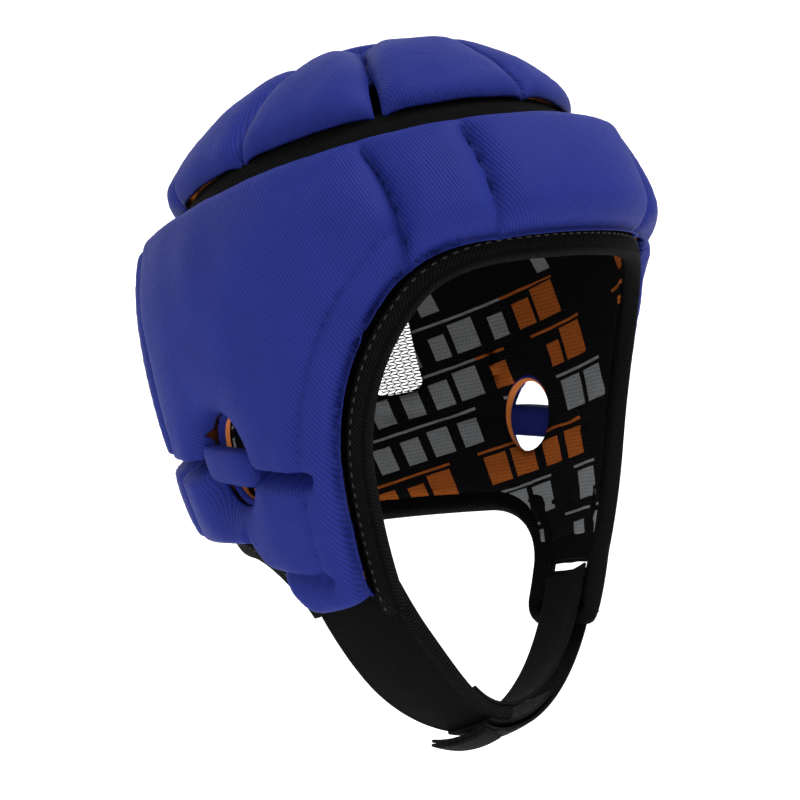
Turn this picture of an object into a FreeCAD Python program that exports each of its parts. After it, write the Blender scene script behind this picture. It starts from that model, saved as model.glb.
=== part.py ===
import FreeCAD, Part
import Sketcher
import math
import os
import re

# Padded soft-shell headgear with an ear hole each side and a hook-and-loop chin strap.
# Frame: +Z up, the face looks along -Y, the wearer's left is +X. The origin is the centre
# of the head at the widest level. Every layer lies on one head form: half an ellipsoid
# above the origin and a longer half ellipsoid below it, grown outward layer by layer.

doc = FreeCAD.newDocument("PaddedHeadgear")
sheet = doc.addObject("Spreadsheet::Sheet", "Sizes")

sizes = {
    # head form, half sizes of the inner face of the lining
    "head_half_width": 85.0,
    "head_half_depth": 97.0,
    "crown_rise": 86.0,
    "jaw_drop": 180.0,
    # layers, from the head outward
    "lining_thick": 1.2,
    "foam_thick": 13.0,
    "cover_thick": 1.2,
    "layer_gap": 0.2,
    # ring of tape between crown and band, on a plane that drops towards the back
    "tape_level": 44.0,
    "tape_width": 12.0,
    "tape_thick": 2.0,
    "tape_tilt": 4.0,
    # quilting channels
    "channel": 4.0,
    "brow_seam_x": 39.0,
    "temple_seam_x": 65.0,
    "rear_seam_y": 52.0,
    "rear_column_x": 48.0,
    "front_channel_low": -30.0,
    "ear_seam_level": -61.5,
    "jaw_seam_level": -98.0,
    "side_tilt": 12.5,
    "crown_top_radius": 25.0,
    "slit_width": 2.5,
    "slit_inner_radius": 66.0,
    # ear holes
    "ear_y": 15.0,
    "ear_z": -59.0,
    "ear_hole_half_width": 13.0,
    "ear_hole_half_height": 18.0,
    "ear_rim": 4.5,
    "ear_rim_thick": 11.0,
    "bridge_height": 14.0,
    # rear vent windows
    "vent_inner_x": 51.0,
    "vent_outer_x": 69.0,
    "vent_low": -38.0,
    "vent_high": 0.0,
    "vent_edge": 3.0,
    # face opening, seen from the side
    "brow_level": -8.0,
    "brow_end_y": -93.0,
    "temple_radius": 28.0,
    "temple_y": -71.0,
    "temple_z": -17.5,
    "cheek_radius": 125.0,
    "cheek_y": -42.0,
    "cheek_z": -74.0,
    "jaw_front_y": -33.0,
    "jaw_front_z": -120.0,
    # nape edge and the back edge of the flaps
    "nape_rear_z": -74.0,
    "nape_corner_y": 34.0,
    "nape_corner_z": -97.0,
    "flap_radius": 30.0,
    "flap_back_y": 10.0,
    "flap_back_z": -124.0,
    # bindings and flap ends
    "binding_width": 6.0,
    "binding_thick": 5.6,
    "foam_inset": 10.0,
    "blue_end_z": -120.0,
    "flap_end_z": -148.0,
    "patch_thick": 1.3,
    "slot_y": -13.0,
    "slot_z": -131.0,
    "slot_length": 28.0,
    "slot_height": 5.0,
    # chin piece and strap
    "chin_seam_z": -122.0,
    "chin_wide_x": -48.0,
    "chin_end_x": -6.0,
    "chin_front_y": -33.0,
    "chin_back_y": 9.0,
    "chin_edge": 4.5,
    "chin_thick": 2.0,
    "chin_lining_thick": 1.6,
    "strap_width": 25.0,
    "strap_thick": 1.4,
    "strap_lap": 22.0,
    "tail_end_x": -22.0,
    "tail_tab": 9.0,
    "hook_length": 44.0,
    "hook_thick": 1.6,
    "reach": 240.0,
}
for row, (alias, amount) in enumerate(sizes.items(), start=1):
    sheet.set("A%d" % row, alias.replace("_", " "))
    sheet.set("B%d" % row, str(amount))
    sheet.setAlias("B%d" % row, alias)
doc.recompute()

subparts = []
words = re.compile(r"[a-z][a-z_]+")


def cells(text):
    """Turn plain words in a formula into references to the sheet's cells."""
    return words.sub(lambda found: ("Sizes." if found.group(0) in sizes else "") + found.group(0), text)


def value(text):
    return float(sheet.evalExpression(cells(text)))


def bind(item, **formulas):
    for name, text in formulas.items():
        item.setExpression(name.replace("__", "."), cells(text))
    return item


def keep(item, label):
    """Mark an object as a finished sub-part under its own label."""
    item.Label = label
    subparts.append(item)
    return item


def boolean(kind, name, *shapes):
    item = doc.addObject("Part::" + kind, name)
    if kind in ("Cut", "Common", "Fuse"):
        item.Base, item.Tool = shapes
    else:
        item.Shapes = list(shapes)
    return item


def block(name, low, high, tilt="0", pivot=("0", "0", "0")):
    """A box between two corners, turned about the X axis through a pivot point."""
    box = doc.addObject("Part::Box", name)
    bind(box, Length="(%s) - (%s)" % (high[0], low[0]), Width="(%s) - (%s)" % (high[1], low[1]),
         Height="(%s) - (%s)" % (high[2], low[2]))
    turn = math.radians(value(tilt))
    box.Placement.Rotation = FreeCAD.Rotation(FreeCAD.Vector(1, 0, 0), value(tilt))
    across = "(%s) - (%s)" % (low[1], pivot[1])
    rise = "(%s) - (%s)" % (low[2], pivot[2])
    c, s = repr(math.cos(turn)), repr(math.sin(turn))
    bind(box, Placement__Base__x=low[0],
         Placement__Base__y="%s + (%s) * %s - (%s) * (%s)" % (pivot[1], across, c, rise, s),
         Placement__Base__z="%s + (%s) * (%s) + (%s) * %s" % (pivot[2], across, s, rise, c))
    return box


def form(name, grow):
    """The whole head form, grown by a distance."""
    halves = []
    for side, drop, low, high in (("Upper", "crown_rise", 0, 90), ("Lower", "jaw_drop", -90, 0)):
        half = doc.addObject("Part::Ellipsoid", name + side)
        half.Angle1, half.Angle2, half.Angle3 = low, high, 360
        bind(half, Radius1="%s + %s" % (drop, grow), Radius2="head_half_width + %s" % grow,
             Radius3="head_half_depth + %s" % grow)
        halves.append(half)
    return boolean("Fuse", name, *halves)


def layer(name, inner, outer):
    """The wall between two grown head forms."""
    return boolean("Cut", name, form(name + "Outer", outer), form(name + "Inner", inner))


def outline(name, plane, points):
    """A closed sketch padded both ways. Each point is (x, y) or (x, y, radius), and the radius bends
    the stretch that leads to the point; the sign gives the side that it bulges to."""
    body = doc.addObject("PartDesign::Body", name)
    sketch = body.newObject("Sketcher::SketchObject", name + "Sketch")
    base = [part for part in body.Origin.OriginFeatures if part.Role == plane][0]
    sketch.AttachmentSupport = (base, [""])
    sketch.MapMode = "FlatFace"
    spots = [FreeCAD.Vector(value(point[0]), value(point[1]), 0) for point in points]
    for index, point in enumerate(points):
        start, end = spots[index - 1], spots[index]
        if len(point) == 2:
            sketch.addGeometry(Part.LineSegment(start, end), False)
            continue
        # a sketch arc runs anticlockwise, so one that bulges to the left is drawn from its end
        radius = value(point[2])
        chord = end - start
        left = FreeCAD.Vector(-chord.y, chord.x, 0).normalize()
        rise = math.sqrt(radius ** 2 - (chord.Length / 2) ** 2)
        center = (start + end) / 2 - left * math.copysign(rise, radius)
        first, last = (end, start) if radius > 0 else (start, end)
        angles = [math.atan2(spot.y - center.y, spot.x - center.x) for spot in (first, last)]
        circle = Part.Circle(center, FreeCAD.Vector(0, 0, 1), abs(radius))
        sketch.addGeometry(Part.ArcOfCircle(circle, *angles), False)
    backward = [(shape.StartPoint - spots[index - 1]).Length > 1e-6
                for index, shape in enumerate(sketch.Geometry)]
    count = len(points)
    for index, point in enumerate(points):
        following = (index + 1) % count
        tail = 1 if backward[index] else 2
        head = 2 if backward[following] else 1
        sketch.addConstraint(Sketcher.Constraint("Coincident", index, tail, following, head))
        for kind, place in (("DistanceX", point[0]), ("DistanceY", point[1])):
            amount = spots[index].x if kind == "DistanceX" else spots[index].y
            number = sketch.addConstraint(Sketcher.Constraint(kind, -1, 1, index, tail, amount))
            sketch.setExpression("Constraints[%d]" % number, cells(place))
        if len(point) == 3:
            number = sketch.addConstraint(Sketcher.Constraint("Radius", index, abs(value(point[2]))))
            sketch.setExpression("Constraints[%d]" % number, cells("abs(%s)" % point[2]))
    pad = body.newObject("PartDesign::Pad", name + "Pad")
    pad.Profile = sketch
    pad.SideType = "Symmetric"
    bind(pad, Length="2 * reach")
    body.Tip = pad
    return body


def cylinder(name, radius, start, sweep):
    """A sector of an upright cylinder over the crown. Angles run from the face, towards the left."""
    item = doc.addObject("Part::Cylinder", name)
    bind(item, Radius=radius, Height="reach")
    item.Angle = sweep
    item.Placement.Rotation = FreeCAD.Rotation(FreeCAD.Vector(0, 0, 1), start - 90)
    return item


def spoke(name, angle, inner, width):
    """A thin radial box over the crown, from an inner radius outward."""
    item = doc.addObject("Part::Box", name)
    bind(item, Length="reach", Width=width, Height="reach")
    turn = math.radians(angle - 90)
    item.Placement.Rotation = FreeCAD.Rotation(FreeCAD.Vector(0, 0, 1), angle - 90)
    c, s = repr(math.cos(turn)), repr(math.sin(turn))
    bind(item, Placement__Base__x="(%s) * (%s) + (%s) / 2 * (%s)" % (inner, c, width, s),
         Placement__Base__y="(%s) * (%s) - (%s) / 2 * (%s)" % (inner, s, width, c))
    return item


def ellipse_bar(name, grow):
    """The ear hole's ellipse, drawn through both sides of the head."""
    ring = doc.addObject("Part::Ellipse", name + "Edge")
    bind(ring, MajorRadius="ear_hole_half_height + " + grow, MinorRadius="ear_hole_half_width + " + grow,
         Placement__Base__y="ear_y", Placement__Base__z="ear_z")
    ring.Placement.Rotation = FreeCAD.Rotation(FreeCAD.Vector(0, 1, 0), 90)
    bar = doc.addObject("Part::Extrusion", name)
    bar.Base = ring
    bar.DirMode = "Custom"
    bar.Dir = FreeCAD.Vector(1, 0, 0)
    bar.Solid = True
    bar.Symmetric = True
    bind(bar, LengthFwd="2 * reach")
    return bar


def face_zone(name, grow):
    """Everything in front of the face opening's edge, seen from the side."""
    return outline(name, "YZ_Plane", [
        ("-reach", "brow_level + " + grow),
        ("brow_end_y", "brow_level + " + grow),
        ("temple_y + 0.77 * " + grow, "temple_z + 0.64 * " + grow, "temple_radius + " + grow),
        ("cheek_y + 0.98 * " + grow, "cheek_z + 0.2 * " + grow, "cheek_radius + " + grow),
        ("jaw_front_y + " + grow, "jaw_front_z"),
        ("jaw_front_y + " + grow, "-reach"),
        ("-reach", "-reach"),
    ])


def nape_zone(name, grow):
    """Everything below the nape edge and behind the flaps, seen from the side."""
    return outline(name, "YZ_Plane", [
        ("reach", "nape_rear_z + " + grow),
        ("nape_corner_y - 0.2 * " + grow, "nape_corner_z + 0.98 * " + grow),
        ("flap_back_y - " + grow, "flap_back_z", "-(flap_radius + %s)" % grow),
        ("flap_back_y - " + grow, "-reach"),
        ("reach", "-reach"),
    ])


tape_pivot = ("0", "0", "tape_level")
side_pivot = ("0", "ear_y", "ear_seam_level")
far = ("reach", "reach", "reach")


def above_tape(name, rise):
    return block(name, ("-reach", "-reach", "tape_level + " + rise), far, "tape_tilt * -1", tape_pivot)


def below(name, level):
    return block(name, ("-reach", "-reach", "-reach"), ("reach", "reach", level))


def side(name, sign):
    """The half of space on the wearer's left, +1, or right, -1."""
    low, high = ("0", "reach") if sign > 0 else ("-reach", "0")
    return block(name, (low, "-reach", "-reach"), (high, "reach", "reach"))


def side_strip(name, level, height):
    """A band of space across the head that drops towards the face, like the ear channel."""
    return block(name, ("-reach", "-reach", "%s - (%s) / 2" % (level, height)),
                 ("reach", "reach", "%s + (%s) / 2" % (level, height)), "side_tilt", side_pivot)


SIDES = (("right", -1), ("left", 1))
lining_out = "lining_thick"
foam_in = "(lining_thick + layer_gap)"
foam_out = "(lining_thick + layer_gap + foam_thick)"
cover_in = "(lining_thick + 2 * layer_gap + foam_thick)"
cover_out = "(lining_thick + 2 * layer_gap + foam_thick + cover_thick)"

# ---- the linings, from the crown down to the blue flap ends
lining = layer("Lining", "0", lining_out)
cover = layer("Cover", cover_in, cover_out)
foam = layer("Foam", foam_in, foam_out)
face_trim = face_zone("FaceTrim", "(binding_width + layer_gap)")
nape_trim = nape_zone("NapeTrim", "(binding_width + layer_gap)")
ear_small = ellipse_bar("EarSmall", "0")
ear_large = ellipse_bar("EarLarge", "ear_rim")
blue_low = below("BlueLow", "blue_end_z")

keep(boolean("Common", "CrownLining", lining, above_tape("CrownLiningZone", "0.1")), "crown_lining")
vents = {}
for label, sign in SIDES:
    name = "Vent" + label.title()
    low, high = ("vent_inner_x", "vent_outer_x") if sign > 0 else ("-vent_outer_x", "-vent_inner_x")
    vents[label] = block(name, (low, "rear_seam_y", "vent_low"), (high, "reach", "vent_high"))
    keep(boolean("Common", name + "Mesh", lining, vents[label]), "rear_vent_mesh_" + label)
band_cuts = boolean("MultiFuse", "BandLiningCuts", face_trim, nape_trim, ear_small, blue_low,
                    above_tape("BandLiningTop", "-0.1"), vents["left"], vents["right"])
keep(boolean("Cut", "BandLining", lining, band_cuts), "band_lining")

# ---- the knit covers: crown with four slits, band round the face, and rear
slits = [spoke("Slit%d" % angle, angle, "slit_inner_radius", "slit_width") for angle in (-125, -42, 42, 125)]
crown_cover = boolean("Common", "CrownCoverWhole", cover, above_tape("CrownCoverZone", "tape_width / 2"))
keep(boolean("Cut", "CrownCover", crown_cover, boolean("MultiFuse", "Slits", *slits)), "crown_cover")

band_top = above_tape("BandTop", "-tape_width / 2")
rear_half = block("RearHalf", ("-reach", "rear_seam_y - 0.2", "-reach"), far)
front_half = block("FrontHalf", ("-reach", "-reach", "-reach"), ("reach", "rear_seam_y + 0.2", "reach"))
band_cover_cuts = boolean("MultiFuse", "BandCoverCuts", face_trim, nape_trim, ear_large, blue_low, band_top,
                          rear_half)
keep(boolean("Cut", "BandCover", cover, band_cover_cuts), "band_cover")
rear_cover_cuts = boolean("MultiFuse", "RearCoverCuts", nape_trim, band_top, front_half,
                          vents["left"], vents["right"])
keep(boolean("Cut", "RearCover", cover, rear_cover_cuts), "rear_cover")

# ---- the tape that closes the gap between crown and band
tape_wall = layer("Tape", foam_in, "(lining_thick + layer_gap + tape_thick)")
tape_zone = block("TapeZone", ("-reach", "-reach", "tape_level - tape_width / 2 + layer_gap"),
                  ("reach", "reach", "tape_level + tape_width / 2 - layer_gap"), "tape_tilt * -1", tape_pivot)
keep(boolean("Common", "CrownGapTape", tape_wall, tape_zone), "crown_gap_tape")

# ---- crown pads: eight petals round a top button pad
crown_foam = boolean("Common", "CrownFoam", foam, above_tape("CrownFoamZone", "tape_width / 2 + layer_gap"))
petal_seams = (0, 42, 86, 125, 180)
spokes = [spoke("Spoke%d" % (angle + 180), angle, "0", "channel")
          for angle in (-125, -86, -42, 0, 42, 86, 125, 180)]
top_round = cylinder("TopRound", "crown_top_radius + channel / 2", 0, 360)
crown_petals = boolean("Cut", "CrownPetals", crown_foam, boolean("MultiFuse", "Spokes", *spokes, top_round))
keep(boolean("Common", "CrownTop", crown_foam, cylinder("TopButton", "crown_top_radius", 0, 360)),
     "crown_top_pad")
petal_names = ("front", "side_front", "side_rear", "rear")
for index, petal in enumerate(petal_names):
    low, high = petal_seams[index], petal_seams[index + 1]
    for label, start in (("left", low), ("right", -high)):
        sector = cylinder("Sector" + petal.title() + label.title(), "reach", start, high - low)
        keep(boolean("Common", "Petal" + petal.title() + label.title(), crown_petals, sector),
             "crown_pad_%s_%s" % (petal, label))

# ---- band pads: the foam wall cut by the quilting channels, then picked out one by one
def column(name, sign, inner, outer, near, deep, low="-reach"):
    """An upright box between two distances off the middle plane, on one side of the head."""
    edges = (inner, outer) if sign > 0 else ("-(%s)" % outer, "-(%s)" % inner)
    return block(name, (edges[0], near, low), (edges[1], deep, "reach"))


channels = []
for label, sign in SIDES:
    for seam in ("brow_seam_x", "temple_seam_x"):
        name = "Channel" + seam.split("_")[0].title() + label.title()
        channels.append(column(name, sign, seam + " - channel / 2", seam + " + channel / 2", "-reach", "0",
                               "front_channel_low"))
    channels.append(column("Column" + label.title(), sign, "rear_column_x - channel / 2",
                           "rear_column_x + channel / 2", "rear_seam_y", "reach"))
channels.append(block("RearChannel", ("-reach", "rear_seam_y - channel / 2", "-reach"),
                      ("reach", "rear_seam_y + channel / 2", "reach")))
ear_channel = side_strip("EarChannel", "ear_seam_level", "channel")
jaw_channel = side_strip("JawChannel", "jaw_seam_level", "channel")
face_inset = face_zone("FaceInset", "foam_inset")
nape_inset = nape_zone("NapeInset", "(binding_width + 2)")
vent_room = [column("VentRoom" + label.title(), sign, "vent_inner_x - vent_edge", "vent_outer_x + vent_edge",
                    "rear_seam_y", "reach", "vent_low - vent_edge") for label, sign in SIDES]
for room in vent_room:
    bind(room, Height="vent_high - vent_low + 2 * vent_edge")
foam_cuts = boolean("MultiFuse", "FoamCuts", *channels, ear_channel, jaw_channel, face_inset, nape_inset,
                    *vent_room, ear_large, below("FoamLow", "blue_end_z + layer_gap"),
                    above_tape("FoamTop", "-tape_width / 2 - layer_gap"))
pads = boolean("Cut", "BandPads", foam, foam_cuts)

over_ear = block("OverEar", ("-reach", "-reach", "ear_seam_level"), far, "side_tilt", side_pivot)
cheek_zone = block("CheekZone", ("-reach", "-reach", "jaw_seam_level"), ("reach", "reach", "ear_seam_level"),
                   "side_tilt", side_pivot)
jaw_zone = block("JawZone", ("-reach", "-reach", "-reach"), ("reach", "reach", "jaw_seam_level"),
                 "side_tilt", side_pivot)
rear_zone = block("RearZone", ("-rear_column_x", "rear_seam_y", "-reach"),
                  ("rear_column_x", "reach", "reach"))


def pick(label, *zones):
    """Keep the piece of the quilted wall that lies in every zone."""
    keep(boolean("MultiCommon", label.title().replace("_", ""), pads, *zones), label)


pick("forehead_pad", block("ForeheadZone", ("-brow_seam_x", "-reach", "brow_level"),
                           ("brow_seam_x", "0", "reach")))
pick("rear_center_pad", over_ear, rear_zone)
pick("nape_center_pad", cheek_zone, rear_zone)
for label, sign in SIDES:
    name = label.title()
    half = column("HalfZone" + name, sign, "0", "reach", "-reach", "rear_seam_y")
    behind = column("BehindZone" + name, sign, "rear_column_x", "reach", "rear_seam_y", "reach")
    pick("brow_pad_" + label, column("BrowZone" + name, sign, "brow_seam_x", "temple_seam_x", "-reach", "0",
                                     "front_channel_low"))
    pick("side_pad_" + label, over_ear, column("FlankZone" + name, sign, "temple_seam_x", "reach", "-reach",
                                               "rear_seam_y"))
    pick("cheek_pad_" + label, half, cheek_zone)
    pick("jaw_pad_" + label, half, jaw_zone)
    pick("rear_side_pad_" + label, behind, over_ear)
    pick("nape_side_pad_" + label, behind, cheek_zone)

# ---- ear holes: a bevelled rim ring and a padded bridge across each
rim_wall = layer("Rim", foam_in, "(lining_thick + layer_gap + ear_rim_thick)")
bridge_wall = layer("Bridge", foam_in, cover_out)
bridge_zone = side_strip("BridgeZone", "ear_seam_level", "bridge_height")
bridge_room = side_strip("BridgeRoom", "ear_seam_level", "(bridge_height + 2 * layer_gap)")
inside_rim = ellipse_bar("InsideRim", "(ear_rim - layer_gap)")
rim_ring = boolean("Cut", "RimRing", inside_rim, boolean("MultiFuse", "RimRoom", ear_small, bridge_room))
bridge_bar = boolean("Common", "BridgeBar", inside_rim, bridge_zone)
for label, sign in SIDES:
    name = label.title()
    keep(boolean("MultiCommon", "EarRim" + name, rim_wall, rim_ring, side("RimSide" + name, sign)),
         "ear_rim_" + label)
    keep(boolean("MultiCommon", "EarBridge" + name, bridge_wall, bridge_bar, side("BridgeSide" + name, sign)),
         "ear_bridge_" + label)

# ---- twill bindings round the face opening, the nape edge and the flap ends
binding_wall = layer("Binding", "-0.8", "(binding_thick - 0.8)")
edge_cuts = boolean("MultiFuse", "EdgeCuts", face_zone("FaceEdge", "0"), nape_zone("NapeEdge", "0"),
                    below("FlapEnd", "flap_end_z"),
                    block("RightFlapEnd", ("-reach", "-reach", "-reach"), ("0", "reach", "blue_end_z")))
inner_cuts = boolean("MultiFuse", "InnerCuts", face_zone("FaceInner", "binding_width"),
                     nape_zone("NapeInner", "binding_width"),
                     below("FlapInner", "flap_end_z + binding_width"))
edge_wall = boolean("Cut", "EdgeWall", binding_wall, edge_cuts)
inner_wall = boolean("Cut", "InnerWall", binding_wall, inner_cuts)
binding = boolean("Cut", "BindingAll", edge_wall, inner_wall)
split_y = "(jaw_front_y + flap_back_y) / 2"
keep(boolean("Common", "FaceBinding", binding, block("FaceSide", ("-reach", "-reach", "-reach"),
     ("reach", split_y, "reach"))), "face_binding")
keep(boolean("Common", "NapeBinding", binding,
             block("NapeSide", ("-reach", split_y + " + layer_gap", "-reach"),
     far)), "nape_binding")

# ---- the left flap's slotted patch, outer and inner
slot = block("Slot", ("0", "slot_y - slot_length / 2", "slot_z - slot_height / 2"),
             ("reach", "slot_y + slot_length / 2", "slot_z + slot_height / 2"))
patch_cuts = boolean("MultiFuse", "PatchCuts", face_trim, nape_trim, slot,
                     below("PatchLow", "flap_end_z + binding_width + layer_gap"))
patch_zone = block("PatchZone", ("0", "-reach", "-reach"), ("reach", "reach", "blue_end_z - layer_gap"))
for label, inner in (("inner", "0"), ("outer", "(patch_thick + 0.1)")):
    wall = layer("Patch" + label.title(), inner, "(%s + patch_thick)" % inner)
    cut = boolean("Cut", "PatchCut" + label.title(), wall, patch_cuts)
    keep(boolean("Common", "FlapPatch" + label.title(), cut, patch_zone), "flap_patch_" + label)

# ---- the chin piece: loop-faced outer, lining and bound edges, below the seam on the right flap
below_seam = below("BelowSeam", "chin_seam_z")


def chin_outline(name, grow, end):
    front, back = "slot_y - strap_width / 2", "slot_y + strap_width / 2"
    return outline(name, "XY_Plane", [
        ("-reach", "chin_front_y + " + grow),
        ("chin_wide_x", "chin_front_y + " + grow),
        (end, "%s + %s" % (front, grow)),
        (end, "%s - %s" % (back, grow)),
        ("chin_wide_x", "chin_back_y - " + grow),
        ("-reach", "chin_back_y - " + grow),
    ])


chin_lining_in = "-chin_lining_thick / 2"
chin_outer_in = "(chin_lining_thick / 2 + layer_gap)"
chin_outer_out = "(chin_lining_thick / 2 + layer_gap + chin_thick)"
chin_inside = chin_outline("ChinInside", "(chin_edge + layer_gap)", "chin_end_x")
keep(boolean("MultiCommon", "ChinPiece", layer("ChinOuter", chin_outer_in, chin_outer_out), chin_inside,
             below_seam), "chin_piece")
keep(boolean("MultiCommon", "ChinLining", layer("ChinInner", "(%s)" % chin_lining_in, "chin_lining_thick / 2"),
             chin_inside, below_seam), "chin_lining")
chin_wall = layer("ChinEdge", "(%s)" % chin_lining_in, chin_outer_out)
chin_rim = boolean("Cut", "ChinRim", chin_outline("ChinWhole", "0", "chin_end_x"),
                   chin_outline("ChinInner0", "chin_edge", "chin_end_x + 1"))
chin_bound = boolean("MultiCommon", "ChinBound", chin_wall, chin_rim, below_seam)
keep(boolean("Common", "ChinBindingFront", chin_bound, block("ChinFront", ("-reach", "-reach", "-reach"),
     ("reach", "slot_y", "reach"))), "chin_binding_front")
keep(boolean("Common", "ChinBindingRear", chin_bound, block("ChinRear", ("-reach", "slot_y", "-reach"), far)),
     "chin_binding_rear")

# ---- the strap: webbing inside, a short fold through the slot, and a tail folded back outside
strap_low, strap_high = "slot_y - strap_width / 2", "slot_y + strap_width / 2"
web_in = "(0 - chin_lining_thick / 2 - layer_gap - strap_thick)"
web_out = "(0 - chin_lining_thick / 2 - layer_gap)"
tail_in = "(chin_lining_thick / 2 + layer_gap + chin_thick + hook_thick + 2 * layer_gap)"
tail_out = "(chin_lining_thick / 2 + layer_gap + chin_thick + hook_thick + 2 * layer_gap + strap_thick)"
below_fold = "slot_z - strap_thick / 2 - layer_gap"
web_zone = block("WebZone", ("chin_end_x - strap_lap", strap_low, "-reach"),
                 ("reach", strap_high, below_fold))
keep(boolean("Common", "StrapWebbing", layer("Web", web_in, web_out), web_zone), "strap_webbing")
fold_zone = block("FoldZone", ("0", strap_low, "slot_z - strap_thick / 2"),
                  ("reach", strap_high, "slot_z + strap_thick / 2"))
keep(boolean("Common", "StrapFold", layer("Fold", web_in, tail_out), fold_zone), "strap_fold")
tail_wall = layer("Tail", tail_in, tail_out)
tail_zone = block("TailZone", ("tail_end_x", strap_low, "-reach"), ("reach", strap_high, below_fold))
keep(boolean("Common", "StrapTail", tail_wall, tail_zone), "strap_tail")
tab_out = "(chin_lining_thick / 2 + chin_thick + hook_thick + 4 * layer_gap + 2 * strap_thick)"
tab_zone = block("TabZone", ("tail_end_x", strap_low, "-reach"),
                 ("tail_end_x + tail_tab", strap_high, "jaw_front_z"))
keep(boolean("Common", "TailTab", layer("Tab", "(%s + layer_gap)" % tail_out, tab_out), tab_zone), "tail_tab")
hook_in = "(chin_lining_thick / 2 + chin_thick + 2 * layer_gap)"
hook_zone = block("HookZone", ("tail_end_x + 2", strap_low + " + 2", "-reach"),
                  ("tail_end_x + hook_length", strap_high + " - 2", "jaw_front_z"))
keep(boolean("Common", "HookPatch", layer("Hook", hook_in, "(%s + hook_thick)" % hook_in), hook_zone),
     "hook_patch")

doc.recompute()

# ---- check every object, then write the sub-parts
faults = [item.Name for item in doc.Objects if "Invalid" in item.State or "Error" in item.State]
for item in subparts:
    if item.Shape.isNull() or not item.Shape.isValid() or not item.Shape.Solids:
        faults.append(item.Label)
if faults:
    raise SystemExit("failed objects: " + ", ".join(faults))
os.makedirs("parts", exist_ok=True)
for item in subparts:
    item.Shape.exportStep("parts/%s.step" % item.Label)
    box = item.Shape.optimalBoundingBox(False)
    print("%-26s solids %d volume %9.1f  x %6.1f..%6.1f y %6.1f..%6.1f z %6.1f..%6.1f" % (
        item.Label, len(item.Shape.Solids), item.Shape.Volume, box.XMin, box.XMax, box.YMin, box.YMax,
        box.ZMin, box.ZMax))
print(len(subparts), "sub-parts")
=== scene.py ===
import math
import bmesh
import bpy
import numpy as np
from mathutils import Matrix, Vector


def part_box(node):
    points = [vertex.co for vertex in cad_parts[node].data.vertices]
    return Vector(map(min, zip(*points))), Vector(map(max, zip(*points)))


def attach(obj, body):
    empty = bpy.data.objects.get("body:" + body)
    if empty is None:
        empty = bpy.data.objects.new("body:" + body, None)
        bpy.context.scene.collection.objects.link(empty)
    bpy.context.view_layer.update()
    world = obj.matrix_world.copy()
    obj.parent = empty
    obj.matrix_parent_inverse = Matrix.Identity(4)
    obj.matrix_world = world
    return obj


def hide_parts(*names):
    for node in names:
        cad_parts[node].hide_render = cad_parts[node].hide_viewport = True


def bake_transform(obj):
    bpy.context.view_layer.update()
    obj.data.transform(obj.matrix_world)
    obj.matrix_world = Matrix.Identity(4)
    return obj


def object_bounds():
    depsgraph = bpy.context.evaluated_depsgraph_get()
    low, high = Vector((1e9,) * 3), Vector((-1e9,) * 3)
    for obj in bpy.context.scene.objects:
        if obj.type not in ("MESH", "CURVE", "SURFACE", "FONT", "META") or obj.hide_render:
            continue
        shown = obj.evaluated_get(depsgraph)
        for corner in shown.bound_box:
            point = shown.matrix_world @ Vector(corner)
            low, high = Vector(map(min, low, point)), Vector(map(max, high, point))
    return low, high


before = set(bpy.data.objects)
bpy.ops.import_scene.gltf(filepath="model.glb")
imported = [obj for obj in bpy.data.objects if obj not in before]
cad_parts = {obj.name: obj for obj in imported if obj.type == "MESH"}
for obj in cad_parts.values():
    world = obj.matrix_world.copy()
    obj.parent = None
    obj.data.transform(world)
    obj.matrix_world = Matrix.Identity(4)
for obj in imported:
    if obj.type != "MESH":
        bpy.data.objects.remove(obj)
cadBox = [list(corner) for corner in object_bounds()]
print("frame loaded:", len(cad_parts), "nodes")

# The script works in millimetres and scales to metres when a mesh is made.
# A place on the head is (turn, lift, out): turn from the face towards the wearer's left,
# lift up from the widest level, and out from the head, through the lining and the padding.
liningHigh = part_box("band_lining")[1]
head = {
    "width": liningHigh.x * 1000 - 1.2,
    "depth": liningHigh.y * 1000 - 1.2,
    "rise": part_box("crown_lining")[1].z * 1000 - 1.2,
    "drop": 180.0,
}


def onHead(turn, lift, out):
    drop = np.where(lift >= 0, head["rise"], head["drop"])
    return np.stack([(head["width"] + out) * np.cos(lift) * np.sin(turn),
                     -(head["depth"] + out) * np.cos(lift) * np.cos(turn),
                     (drop + out) * np.sin(lift)], -1)


def offHead(points):
    x, y, z = points.T
    drop = np.where(z >= 0, head["rise"], head["drop"])
    out = np.zeros(len(points))
    for step in range(9):
        wide, deep, tall = head["width"] + out, head["depth"] + out, drop + out
        miss = (x / wide) ** 2 + (y / deep) ** 2 + (z / tall) ** 2 - 1
        out += miss / (2 * (x ** 2 / wide ** 3 + y ** 2 / deep ** 3 + z ** 2 / tall ** 3))
    turn = np.arctan2(x / (head["width"] + out), -y / (head["depth"] + out))
    lift = np.arcsin(np.clip(z / (drop + out), -1, 1))
    return turn, lift, out


def smooth(amount, start, end):
    share = np.clip((amount - start) / (end - start), 0, 1)
    return share * share * (3 - 2 * share)


def shoulder(distance, radius, flat=0.0):
    share = np.clip((np.abs(distance) - flat) / radius, 0, 1)
    return np.sqrt(1 - (1 - share) ** 2)


def unevenness(points, size, seed):
    # soft lumps between about -1 and 1, the same every run
    random = np.random.default_rng(seed)
    total = np.zeros(len(points))
    for wave in range(9):
        heading = random.normal(size=3)
        heading *= 2 * math.pi / size * random.uniform(0.6, 1.5) / np.linalg.norm(heading)
        total += np.sin(points @ heading + random.uniform(0, 2 * math.pi))
    return total / 3


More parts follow.
